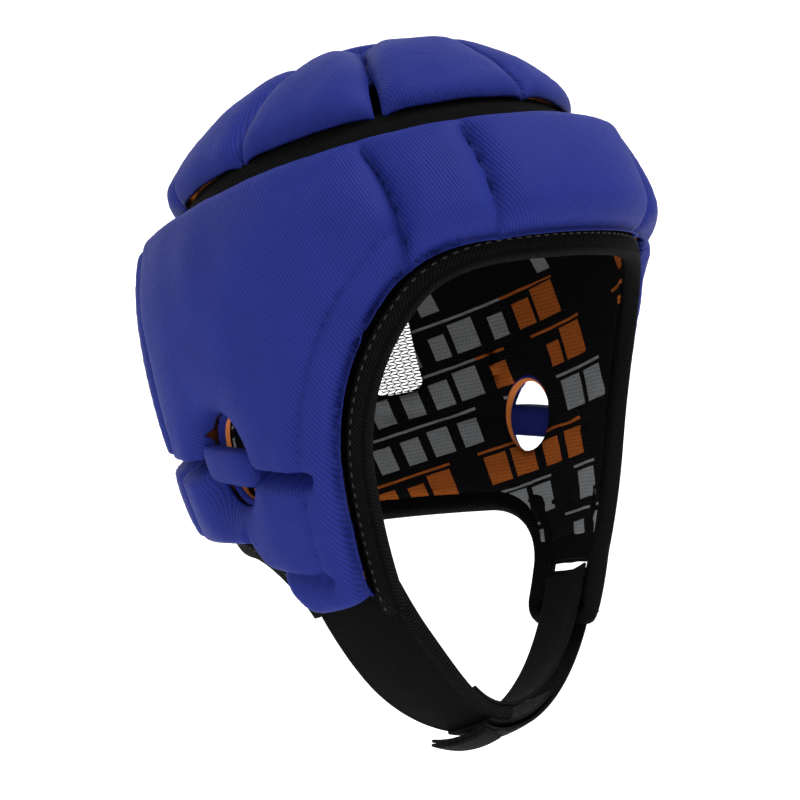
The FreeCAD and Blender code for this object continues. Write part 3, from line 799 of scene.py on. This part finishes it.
net = {"pitch": 2.4, "wire": 0.85}
for sideName, sign in (("right", -1), ("left", 1)):
    low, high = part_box("rear_vent_mesh_" + sideName)
    xs = np.arange(low.x * 1000 - 1, high.x * 1000 + 1.5, net["pitch"])
    zs = np.arange(low.z * 1000 - 1, high.z * 1000 + 1.5, net["pitch"] * 0.62)
    gridX, gridZ = (g.ravel() for g in np.meshgrid(xs, zs))
    odd = np.repeat(np.arange(len(zs)) % 2, len(xs))
    gridX = gridX + odd * net["pitch"] / 2
    tall = np.where(gridZ >= 0, head["rise"], head["drop"]) + 1.2
    inside = 1 - (gridX / (head["width"] + 1.2)) ** 2 - (gridZ / tall) ** 2
    gridY = (head["depth"] + 1.2) * np.sqrt(np.maximum(inside, 0.01))
    across, rows = len(xs), len(zs)
    cells = [[r * across + c, r * across + c + 1, (r + 1) * across + c + 1, (r + 1) * across + c]
             for r in range(rows - 1) for c in range(across - 1)]
    mesh = makePiece("rear_vent_mesh_" + sideName, np.column_stack([gridX, gridY, gridZ]), cells, netting)
    wires = mesh.modifiers.new("Wires", "WIREFRAME")
    wires.thickness = net["wire"] * 0.001
    wires.use_even_offset = False
    place(mesh, "shell", "vent_mesh", "rear_vent_mesh_" + sideName)
print("lining made")


# ---- edges: a line that follows an outline on the head, a rolled tape along it, and its stitches
def followEdge(field, start, heading, out, stop, step=2.0):
    s, t = np.array([start[0]]), np.array([start[1]])
    direction = np.array(heading, float)
    spots = []
    for count in range(900):
        for again in range(3):
            miss, perS, perT = measure(field, ring, s, t, out)
            s, t = s - miss * perS, t - miss * perT
        here = onHead(s, t, out)[0]
        spots.append([float(s[0]), float(t[0])])
        if count > 3 and stop(here, count):
            break
        small = 0.002
        slopeS = (field(onHead(s + small, t, out)) - field(onHead(s - small, t, out)))[0] / (2 * small)
        slopeT = (field(onHead(s, t + small, out)) - field(onHead(s, t - small, out)))[0] / (2 * small)
        lengthS = np.linalg.norm((onHead(s + small, t, out) - onHead(s - small, t, out))[0]) / (2 * small)
        lengthT = np.linalg.norm((onHead(s, t + small, out) - onHead(s, t - small, out))[0]) / (2 * small)
        tangent = np.array([-slopeT / lengthT, slopeS / lengthS])
        tangent /= max(np.linalg.norm(tangent), 1e-6)
        if tangent @ direction < 0:
            tangent = -tangent
        direction = tangent
        s, t = s + step * tangent[0] / lengthS, t + step * tangent[1] / lengthT
    return np.array(spots)


def evenly(spots, spacing, closed=False):
    points = onHead(spots[:, 0], spots[:, 1], 2.0)
    if closed:
        spots = np.concatenate([spots, spots[:1]])
        points = np.concatenate([points, points[:1]])
    along = np.concatenate([[0], np.cumsum(np.linalg.norm(np.diff(points, axis=0), axis=1))])
    count = max(4, int(along[-1] / spacing))
    marks = np.linspace(0, along[-1], count + 1)
    even = np.column_stack([np.interp(marks, along, np.unwrap(spots[:, 0])), np.interp(marks, along, spots[:, 1])])
    return (even[:-1] if closed else even), (marks[:-1] if closed else marks)


def frameAlong(spots, closed=False):
    # points on the head, with the way out, the way along and the way into the shell at each
    points = onHead(spots[:, 0], spots[:, 1], 0.0)
    outward = onHead(spots[:, 0], spots[:, 1], 1.0) - points
    outward /= np.linalg.norm(outward, axis=1)[:, None]
    if closed:
        along = np.roll(points, -1, 0) - np.roll(points, 1, 0)
    else:
        along = np.gradient(points, axis=0)
    along -= (along * outward).sum(1)[:, None] * outward
    along /= np.linalg.norm(along, axis=1)[:, None]
    return points, outward, along, np.cross(outward, along)


def sweep(name, spots, marks, section, material, inward=1, closed=False):
    # section points are (into the shell, out from the head)
    points, outward, along, across = frameAlong(spots, closed)
    section = np.array(section, float)
    around = len(section)
    rings = (points[:, None] + inward * across[:, None] * section[None, :, :1] + outward[:, None] * section[None, :, 1:])
    count = len(spots)
    girth = np.concatenate([[0], np.cumsum(np.linalg.norm(np.diff(section, axis=0), axis=1))])
    faces = []
    for i in range(count if closed else count - 1):
        following = (i + 1) % count
        for j in range(around):
            k = (j + 1) % around
            quad = [i * around + j, following * around + j, following * around + k, i * around + k]
            faces.append(quad if inward < 0 else quad[::-1])
    if not closed:
        cap = list(range(around))
        faces.append(cap if inward > 0 else cap[::-1])
        cap = [(count - 1) * around + j for j in range(around)]
        faces.append(cap[::-1] if inward > 0 else cap)
    weave = np.stack([np.repeat(marks, around), np.tile(girth, count)], 1)
    return makePiece(name, rings.reshape(-1, 3), faces, material, weave)


def rolledTape(width, under, over, roll=1.4):
    # a soft flattened roll, open side into the shell
    shape = []
    thick = over - under
    middle = (over + under) / 2
    for step in range(9):
        angle = math.pi / 2 + math.pi * step / 8
        shape.append((roll + math.cos(angle) * (roll + 0.5), middle + math.sin(angle) * thick / 2))
    inner = [(width * 0.45, under + 0.05), (width * 0.8, under + 0.25), (width, under + 0.6),
             (width + 0.15, middle - 0.2), (width + 0.15, middle + 0.4),
             (width, over - 0.75), (width * 0.8, over - 0.45), (width * 0.62, over - 0.1), (width * 0.35, over + 0.1)]
    return shape + inner


def stitchLine(name, spots, marks, into, out, material, body, slotName, inward=1, length=2.3, gap=1.3,
               thick=0.38, closed=False):
    # one thread lying in short stitches along a line
    points, outward, along, across = frameAlong(spots, closed)
    total = marks[-1]
    starts = np.arange(gap, total - length, length + gap)
    shape, faces, weave = [], [], []
    profile = ((-0.5, 0.25), (-0.36, 0.85), (0.0, 1.0), (0.36, 0.85), (0.5, 0.25))
    for begin in starts:
        middle = begin + length / 2

        def at(values):
            return np.array([np.interp(middle, marks, values[:, axis]) for axis in range(3)])
        center = at(points) + inward * at(across) * into + at(outward) * out
        way, side, rise = at(along), at(across), at(outward)
        base = len(shape)
        for place_, fat in profile:
            for corner in range(6):
                angle = corner * math.pi / 3
                dip = -0.35 * (abs(place_) * 2) ** 3 * thick * 2
                shape.append(center + way * place_ * length
                             + (side * math.cos(angle) + rise * math.sin(angle)) * thick * fat + rise * dip)
        for ringIndex in range(4):
            for corner in range(6):
                k = (corner + 1) % 6
                faces.append([base + ringIndex * 6 + corner, base + ringIndex * 6 + k,
                              base + ringIndex * 6 + 6 + k, base + ringIndex * 6 + 6 + corner])
        faces.append([base + j for j in range(5, -1, -1)])
        faces.append([base + 24 + j for j in range(6)])
    piece = makePiece(name, np.array(shape), faces, material)
    return place(piece, body, slotName)


def softMin(values, radius):
    lowest = values[0]
    for value in values[1:]:
        blend = np.clip(0.5 + 0.5 * (value - lowest) / radius, 0, 1)
        lowest = value * (1 - blend) + lowest * blend - radius * blend * (1 - blend)
    return lowest


def shellOutline(p):
    # the whole bound edge: face opening, nape, and the left flap's end
    end = np.where(p[:, 0] > 0, p[:, 2] - cut["flapEnd"], 60)
    return softMin([faceEdge(p), napeEdge(p), end], 9)


browStart = (0.0, math.asin(cut["browLevel"] / head["drop"]))
napeStart = (math.pi, math.asin(-91 / head["drop"]))
print("bindings")
leftSide = followEdge(shellOutline, browStart, (1, 0), 2.0, lambda p, n: p[2] < -140 and p[1] > -11.5)
rightSide = followEdge(faceEdge, browStart, (-1, 0), 2.0, lambda p, n: p[2] < -121.5)
faceSpots, faceMarks = evenly(np.concatenate([rightSide[::-1], leftSide[1:]]), 2.0)
leftNape = followEdge(shellOutline, napeStart, (-1, 0), 2.0, lambda p, n: p[2] < -140 and p[1] < -11.5)
rightNape = followEdge(napeEdge, napeStart, (1, 0), 2.0, lambda p, n: p[2] < -121.5)
napeSpots, napeMarks = evenly(np.concatenate([leftNape[::-1], rightNape[1:]]), 2.0)
bindingSection = rolledTape(cut["binding"], -0.9, 6.0)
faceBinding = sweep("face_binding", faceSpots, faceMarks, bindingSection, twill, 1)
place(faceBinding, "shell", "twill", "face_binding")
napeBinding = sweep("nape_binding", napeSpots, napeMarks, bindingSection, twill, 1)
place(napeBinding, "shell", "twill", "nape_binding")
stitchLine("faceBindingStitches", faceSpots, faceMarks, 7.2, 5.6, blackThread, "shell", "twill")
stitchLine("napeBindingStitches", napeSpots, napeMarks, 7.2, 5.6, blackThread, "shell", "twill")

# tape that closes the gap between crown and band
s, t, faces = cutSheet(ring, fullTurn, np.arcsin(np.arange(28, 64, 1.6) / head["rise"]),
                       [lambda p: tapeLine(p) + 8.5, lambda p: 8.5 - tapeLine(p)], 2.0, True)
tapePoints = onHead(s, t, 5.6 + 0.25 * np.sin(measure(tapeLine, ring, s, t)[0] * 1.1))
turn, lift, out = offHead(tapePoints)
tapePoints, faces = slab(faces, tapePoints, onHead(turn, lift, out - 1.6))
weave = np.column_stack([turn * 92, measure(tapeLine, ring, s, t)[0]])
gapTape = makePiece("crown_gap_tape", tapePoints, faces, twill, np.concatenate([weave, weave]), 2 * math.pi * 92)
place(gapTape, "shell", "twill", "crown_gap_tape")

# a line just under the band's rolled top edge, traced round the band, and the padding share along it
tapeSpots = followEdge(lambda p: onBand(p) - 4.2, (0.0, math.asin(40 / head["rise"])), (1, 0), 12.0,
                       lambda p, n: n > 20 and abs(p[0]) < 1.4 and p[1] < 0)
tapeSpots, tapeMarks = evenly(tapeSpots, 2.0)
bandShare = panelShare(tapeSpots[:, 0], tapeSpots[:, 1])

# ---- ear holes: a bevelled rim and a padded bridge on each side
ear = {"bridgeHalf": 7.4, "bridgeReach": 16.4}
print("ear holes")
for sideName, sign in (("right", -1), ("left", 1)):
    angles = np.linspace(0, 2 * math.pi, 72, endpoint=False)
    rings = []
    # a rolled lip at the cover's edge, then the foam wall down to the lining
    for grow, out in ((1.8, 5.4), (1.0, 6.5), (0.1, 6.6), (-0.7, 6.0), (-1.2, 5.2), (-1.6, 4.4), (-1.6, 3.2),
                      (-1.2, 2.2), (-0.2, 1.3), (2.2, 1.4), (3.2, 3.0), (2.4, 5.2)):
        y = cut["earY"] + (cut["earHalfY"] + grow) * np.cos(angles)
        z = cut["earZ"] + (cut["earHalfZ"] + grow) * np.sin(angles)
        x = sign * (head["width"] + out) * np.sqrt(1 - (y / (head["depth"] + out)) ** 2 - (z / (head["drop"] + out)) ** 2)
        rings.append(np.column_stack([x, y, z]))
    count, rows = len(angles), len(rings)
    faces = []
    for i in range(rows):
        n = (i + 1) % rows
        for j in range(count):
            k = (j + 1) % count
            quad = [i * count + j, i * count + k, n * count + k, n * count + j]
            faces.append(quad if sign > 0 else quad[::-1])
    weave = np.concatenate([np.column_stack([angles * 16, np.full(count, i * 1.5)]) for i in range(rows)])
    rim = makePiece("ear_rim_" + sideName, np.concatenate(rings), faces, [knit, foam], weave, 2 * math.pi * 16)
    for index, face in enumerate(rim.data.polygons):
        face.material_index = 1 if 5 <= index // count < 8 else 0
    finer = rim.modifiers.new("Soften", "SUBSURF")
    finer.levels = finer.render_levels = 1
    place(rim, "shell", "knit", "ear_rim_" + sideName)
    # the bridge: a soft bar across the hole, tucked into the panel at both ends
    across = np.linspace(-1, 1, 33)
    around = np.linspace(0, 2 * math.pi, 28, endpoint=False)
    bar = []
    for share in across:
        end = abs(share)
        swell = 1 - 0.10 * end ** 4
        y0 = cut["earY"] + share * ear["bridgeReach"]
        for angle in around:
            c, s0 = math.cos(angle), math.sin(angle)
            # a rounded box in section
            up = math.copysign(abs(c) ** 0.55, c) * ear["bridgeHalf"] * swell
            rise = math.copysign(abs(s0) ** 0.62, s0)
            out = 11.0 + (5.4 * swell if rise > 0 else 5.4) * rise - 4.4 * end ** 5
            z0 = cut["earSeam"] + math.tan(cut["seamSlope"]) * (y0 - cut["earY"]) + up
            x0 = sign * (head["width"] + out) * math.sqrt(1 - (y0 / (head["depth"] + out)) ** 2 - (z0 / (head["drop"] + out)) ** 2)
            bar.append((x0, y0, z0))
    bar = np.array(bar)
    faces = []
    n = len(around)
    for i in range(len(across) - 1):
        for j in range(n):
            k = (j + 1) % n
            quad = [i * n + j, (i + 1) * n + j, (i + 1) * n + k, i * n + k]
            faces.append(quad if sign > 0 else quad[::-1])
    faces.append(list(range(n)) if sign > 0 else list(range(n))[::-1])
    last = [(len(across) - 1) * n + j for j in range(n)]
    faces.append(last[::-1] if sign > 0 else last)
    weave = np.column_stack([np.repeat(across * ear["bridgeReach"], n) + 3, np.tile(around * 5.5, len(across))])
    bridge = makePiece("ear_bridge_" + sideName, bar, faces, knit, weave)
    finer = bridge.modifiers.new("Soften", "SUBSURF")
    finer.levels = finer.render_levels = 1
    place(bridge, "shell", "knit", "ear_bridge_" + sideName)

# ---- the left flap's slotted patches
flapLifts = np.arcsin(np.arange(-152, -94, 1.6) / head["drop"])
flapTurns = np.linspace(0.9, 2.1, 90)
for label, out, extra in (("outer", 2.9, 0.0), ("inner", 0.9, 0.0)):
    s, t, faces = cutSheet(ring, flapTurns, flapLifts,
                           [(shellOutline, 4.4), lambda p: cut["blueEnd"] + 22 - p[:, 2], slotEdge], 1.5)
    points = onHead(s, t, np.full(len(s), out))
    points += (0.18 * unevenness(points, 12, 4))[:, None] * (points / np.linalg.norm(points, axis=1)[:, None])
    turn, lift, outs = offHead(points)
    points, faces = slab(faces, points, onHead(turn, lift, outs - 1.3))
    weave = weaveOf(turn, lift)
    patch = makePiece("flap_patch_" + label, points, faces, patchCloth, np.concatenate([weave, weave]))
    place(patch, "shell", "patch", "flap_patch_" + label)


print("flap made")

# ---- chin piece and strap: bands that run under the chin
chin = {"seam": -121.0, "wideX": -48.0, "endX": -6.0, "front": -33.0, "back": 9.0, "strapHalf": 12.5}


def underChin(angle, share, offset, out):
    # angle 0 points to the wearer's right, 90 degrees straight down, 180 to the left
    angle, share, offset, out = np.broadcast_arrays(*(np.asarray(a, float) for a in (angle, share, offset, out)))
    x = -head["width"] * np.cos(angle)
    for again in range(6):
        taper = np.clip((x - chin["wideX"]) / (chin["endX"] - chin["wideX"]), 0, 1)
        ease = taper * taper * (3 - 2 * taper)
        front = chin["front"] + (cut["slotY"] - chin["strapHalf"] - chin["front"]) * ease
        back = chin["back"] + (cut["slotY"] + chin["strapHalf"] - chin["back"]) * ease
        y = front + (back - front) * share + offset
        narrow = np.sqrt(1 - (y / (head["depth"] + out)) ** 2)
        x = -(head["width"] + out) * narrow * np.cos(angle)
    z = -(head["drop"] + out) * narrow * np.sin(angle)
    return np.stack([x, y, z], -1)


def chinBand(name, angles, section, material):
    # section points are (share of the width, extra towards the back, out)
    section = np.array(section, float)
    around = len(section)
    points = np.concatenate([underChin(angle, section[:, 0], section[:, 1],
                                       section[:, 2] if section.shape[1] == 3 else section[:, 2] + section[:, 3] * curl)
                             for angle, curl in zip(angles, np.linspace(1, 0, len(angles)) ** 3)])
    middle = underChin(angles, 0.5, 0, 3.0)
    marks = np.concatenate([[0], np.cumsum(np.linalg.norm(np.diff(middle, axis=0), axis=1))])
    faces = []
    for i in range(len(angles) - 1):
        for j in range(around):
            k = (j + 1) % around
            faces.append([i * around + j, i * around + k, (i + 1) * around + k, (i + 1) * around + j])
    faces.append(list(range(around))[::-1])
    faces.append([(len(angles) - 1) * around + j for j in range(around)])
    weave = np.column_stack([np.repeat(marks, around), np.tile(section[:, 0] * 25 + section[:, 1], len(angles))])
    return makePiece(name, points, faces, material, weave)


def bandSection(low, high, inset, steps=9, soft=0.5, curl=0.0):
    # a flat band with rounded long edges
    top = [(share, inset * (1 - 2 * share), high - 0.0 * share, curl) for share in np.linspace(0.03, 0.97, steps)]
    bottom = [(share, inset * (1 - 2 * share), low, curl) for share in np.linspace(0.97, 0.03, steps)]
    middle = (low + high) / 2
    return top + [(1.0, -inset, middle + soft * (high - middle), curl), (1.0, -inset, middle - soft * (high - middle), curl)] \
        + bottom + [(0.0, inset, middle - soft * (high - middle), curl), (0.0, inset, middle + soft * (high - middle), curl)]


def angleAt(x=None, z=None, y=-13.0, out=2.0):
    narrow = math.sqrt(1 - (y / (head["depth"] + out)) ** 2)
    if z is not None:
        return math.asin(-z / (head["drop"] + out) / narrow)
    return math.acos(-x / (head["width"] + out) / narrow)


print("chin strap")
seamAngle = angleAt(z=chin["seam"])
endAngle = angleAt(x=chin["endX"] + 2)
chinAngles = np.linspace(seamAngle, endAngle, 44)
tongueAngles = np.linspace(angleAt(z=-102), endAngle, 54)
chinPiece = chinBand("chin_piece", tongueAngles, bandSection(1.0, 3.2, 3.2, 15), velour)
chinLining = chinBand("chin_lining", chinAngles, bandSection(-0.7, 0.9, 3.4, 15), lining)


def chinBinding(front):
    sign = 1 if front else -1
    share = 0 if front else 1
    return [(share, sign * into, out) for into, out in rolledTape(4.5, -0.9, 3.6, 1.2)][::sign]


frontBinding = chinBand("chin_binding_front", chinAngles, chinBinding(True), twill)
rearBinding = chinBand("chin_binding_rear", chinAngles, chinBinding(False), twill)
seamStart = tuple(underChin(seamAngle, 0.5, 0, 2.0) * 0.001)
seamEnd = tuple(underChin(seamAngle + 0.12, 0.5, 0, 2.0) * 0.001)
for piece, slotName, node in ((chinPiece, "velour", "chin_piece"), (chinLining, "lining", "chin_lining"),
                              (frontBinding, "twill", "chin_binding_front"),
                              (rearBinding, "twill", "chin_binding_rear")):
    outwardFaces(piece)
    finer = piece.modifiers.new("Soften", "SUBSURF")
    finer.levels = finer.render_levels = 1
    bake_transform(piece)
    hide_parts(node)
webLow, webHigh = -2.4, -1.0
tailLow, tailHigh = 5.0, 6.4
slotAngle = math.pi - angleAt(z=cut["slotZ"] - 1.0)
webAngles = np.linspace(angleAt(x=-28), slotAngle, 60)
strapWebbing = chinBand("strap_webbing", webAngles, bandSection(webLow, webHigh, 0.0), webbing)
tailAngles = np.linspace(angleAt(x=-22), math.pi - angleAt(z=cut["slotZ"] - 1.0, out=5.7), 74)
strapTail = chinBand("strap_tail", tailAngles, bandSection(tailLow, tailHigh, 0.0, curl=3.0), webbing)
tabAngles = np.linspace(angleAt(x=-22), angleAt(x=-13), 8)
tabSection = [(a, b, c + 1.6, 0) for a, b, c, d in bandSection(tailLow + 3.0, tailHigh + 3.0, 0.0)]
tailTab = chinBand("tail_tab", tabAngles, tabSection, webbing)
hookAngles = np.linspace(angleAt(x=-17), angleAt(x=22), 30)
hookPatch = chinBand("hook_patch", hookAngles, bandSection(3.3, 4.9, 1.5), hookTape)
place(strapWebbing, "chin_strap", "webbing", "strap_webbing")
for piece, slotName, node in ((strapTail, "webbing", "strap_tail"), (tailTab, "webbing", "tail_tab"),
                              (hookPatch, "hook", "hook_patch")):
    place(piece, "strap_tail", slotName, node)

# the fold of webbing through the slot
fold = []
middleOut, radius = (webLow + webHigh + tailLow + tailHigh) / 4, (tailLow + tailHigh - webLow - webHigh) / 4
widths = np.linspace(-chin["strapHalf"], chin["strapHalf"], 13)
steps = np.linspace(0, math.pi, 15)
for thick in (0.7, -0.7):
    for step in steps:
        out = middleOut - math.cos(step) * (radius + thick)
        z = cut["slotZ"] - 1.4 + math.sin(step) * (2.6 + thick)
        for w in widths:
            y = cut["slotY"] + w
            x = (head["width"] + out) * math.sqrt(1 - (y / (head["depth"] + out)) ** 2 - (z / (head["drop"] + out)) ** 2)
            fold.append((x, y, z))
wide, long = len(widths), len(steps)
faces = []
for i in range(long - 1):
    for j in range(wide - 1):
        a = i * wide + j
        faces.append([a, a + 1, a + wide + 1, a + wide])
        b = a + wide * long
        faces.append([b, b + wide, b + wide + 1, b + 1])
for i in range(long - 1):
    for j in (0, wide - 1):
        a = i * wide + j
        quad = [a, a + wide, a + wide + wide * long, a + wide * long]
        faces.append(quad if j == 0 else quad[::-1])
for i in (0, long - 1):
    for j in range(wide - 1):
        a = i * wide + j
        quad = [a, a + wide * long, a + wide * long + 1, a + 1]
        faces.append(quad if i == 0 else quad[::-1])
weave = np.tile(np.column_stack([np.repeat(steps * 4, wide), np.tile(widths + 12.5, long)]), (2, 1))
strapFold = makePiece("strap_fold", np.array(fold), faces, webbing, weave)
place(strapFold, "shell", "webbing", "strap_fold")

# ---- studio: floor, lights and camera
studio = {"floorBelow": 0.075, "lens": 66.7, "distance": 0.6187, "turn": -44.21, "tilt": -7.57, "roll": -10.03,
          "aim": (-0.0114, 0.0, -0.0454)}
floorLevel = min(corner[2] for corner in cadBox) - studio["floorBelow"]
sweepLine = [(-40.0, floorLevel), (1.5, floorLevel)] + [
    (1.5 + math.sin(a) * 0.8, floorLevel + 0.8 - math.cos(a) * 0.8) for a in np.linspace(0.15, math.pi / 2, 10)] + [
    (2.3, 4.0)]
heading = math.radians(studio["turn"])
floorPoints, floorFaces = [], []
for index, (along, z) in enumerate(sweepLine):
    for acrossWay in (-5.0, 5.0):
        floorPoints.append((-math.sin(heading) * along + math.cos(heading) * acrossWay,
                            math.cos(heading) * along + math.sin(heading) * acrossWay, z))
    if index:
        floorFaces.append([2 * index - 2, 2 * index - 1, 2 * index + 1, 2 * index])
floorCloth = speckled("paleFloor", color(0.88, 0.88, 0.88), color(0.92, 0.92, 0.92), 60, 0.85, 0.0,
                      {"Emission Color": color(1, 1, 1), "Emission Strength": 0.34, "Specular IOR Level": 0.1})
floor = makePiece("floor", np.array(floorPoints) * 1000, floorFaces, floorCloth)


def softLight(name, location, size, power, target=(0, 0, -0.04)):
    data = bpy.data.lights.new(name, "AREA")
    data.shape, data.size, data.energy = "SQUARE", size, power
    lamp = bpy.data.objects.new(name, data)
    lamp.location = location
    lamp.rotation_euler = (Vector(target) - Vector(location)).to_track_quat("-Z", "Y").to_euler()
    bpy.context.scene.collection.objects.link(lamp)


softLight("keyLight", (0.5, -1.4, 1.8), 0.9, 62)
softLight("sideLight", (-1.8, -0.5, 0.3), 1.0, 11)
softLight("rimLight", (-0.9, 1.4, 1.0), 0.8, 12)
world = bpy.data.worlds.new("studioAir")
world.use_nodes = True
world.node_tree.nodes["Background"].inputs[0].default_value = (1, 1, 1, 1)
world.node_tree.nodes["Background"].inputs[1].default_value = 0.46
bpy.context.scene.world = world
bpy.context.scene.view_settings.view_transform = "Standard"

turnAngle, tiltAngle, rollAngle = (math.radians(studio[key]) for key in ("turn", "tilt", "roll"))
back = Vector((math.sin(turnAngle) * math.cos(tiltAngle), -math.cos(turnAngle) * math.cos(tiltAngle),
               math.sin(tiltAngle)))
spot = back * studio["distance"]
back = (spot - Vector(studio["aim"])).normalized()
sideways = Vector((0, 0, 1)).cross(back).normalized()
upward = back.cross(sideways)
rolledSide = sideways * math.cos(rollAngle) + upward * math.sin(rollAngle)
rolledUp = upward * math.cos(rollAngle) - sideways * math.sin(rollAngle)
lens = bpy.data.cameras.new("studioCamera")
lens.lens, lens.sensor_width, lens.clip_start = studio["lens"], 36, 0.05
camera = bpy.data.objects.new("studioCamera", lens)
camera.matrix_world = Matrix((
    (rolledSide.x, rolledUp.x, back.x, spot.x),
    (rolledSide.y, rolledUp.y, back.y, spot.y),
    (rolledSide.z, rolledUp.z, back.z, spot.z),
    (0, 0, 0, 1)))
bpy.context.scene.collection.objects.link(camera)
bpy.context.scene.camera = camera

print("done")
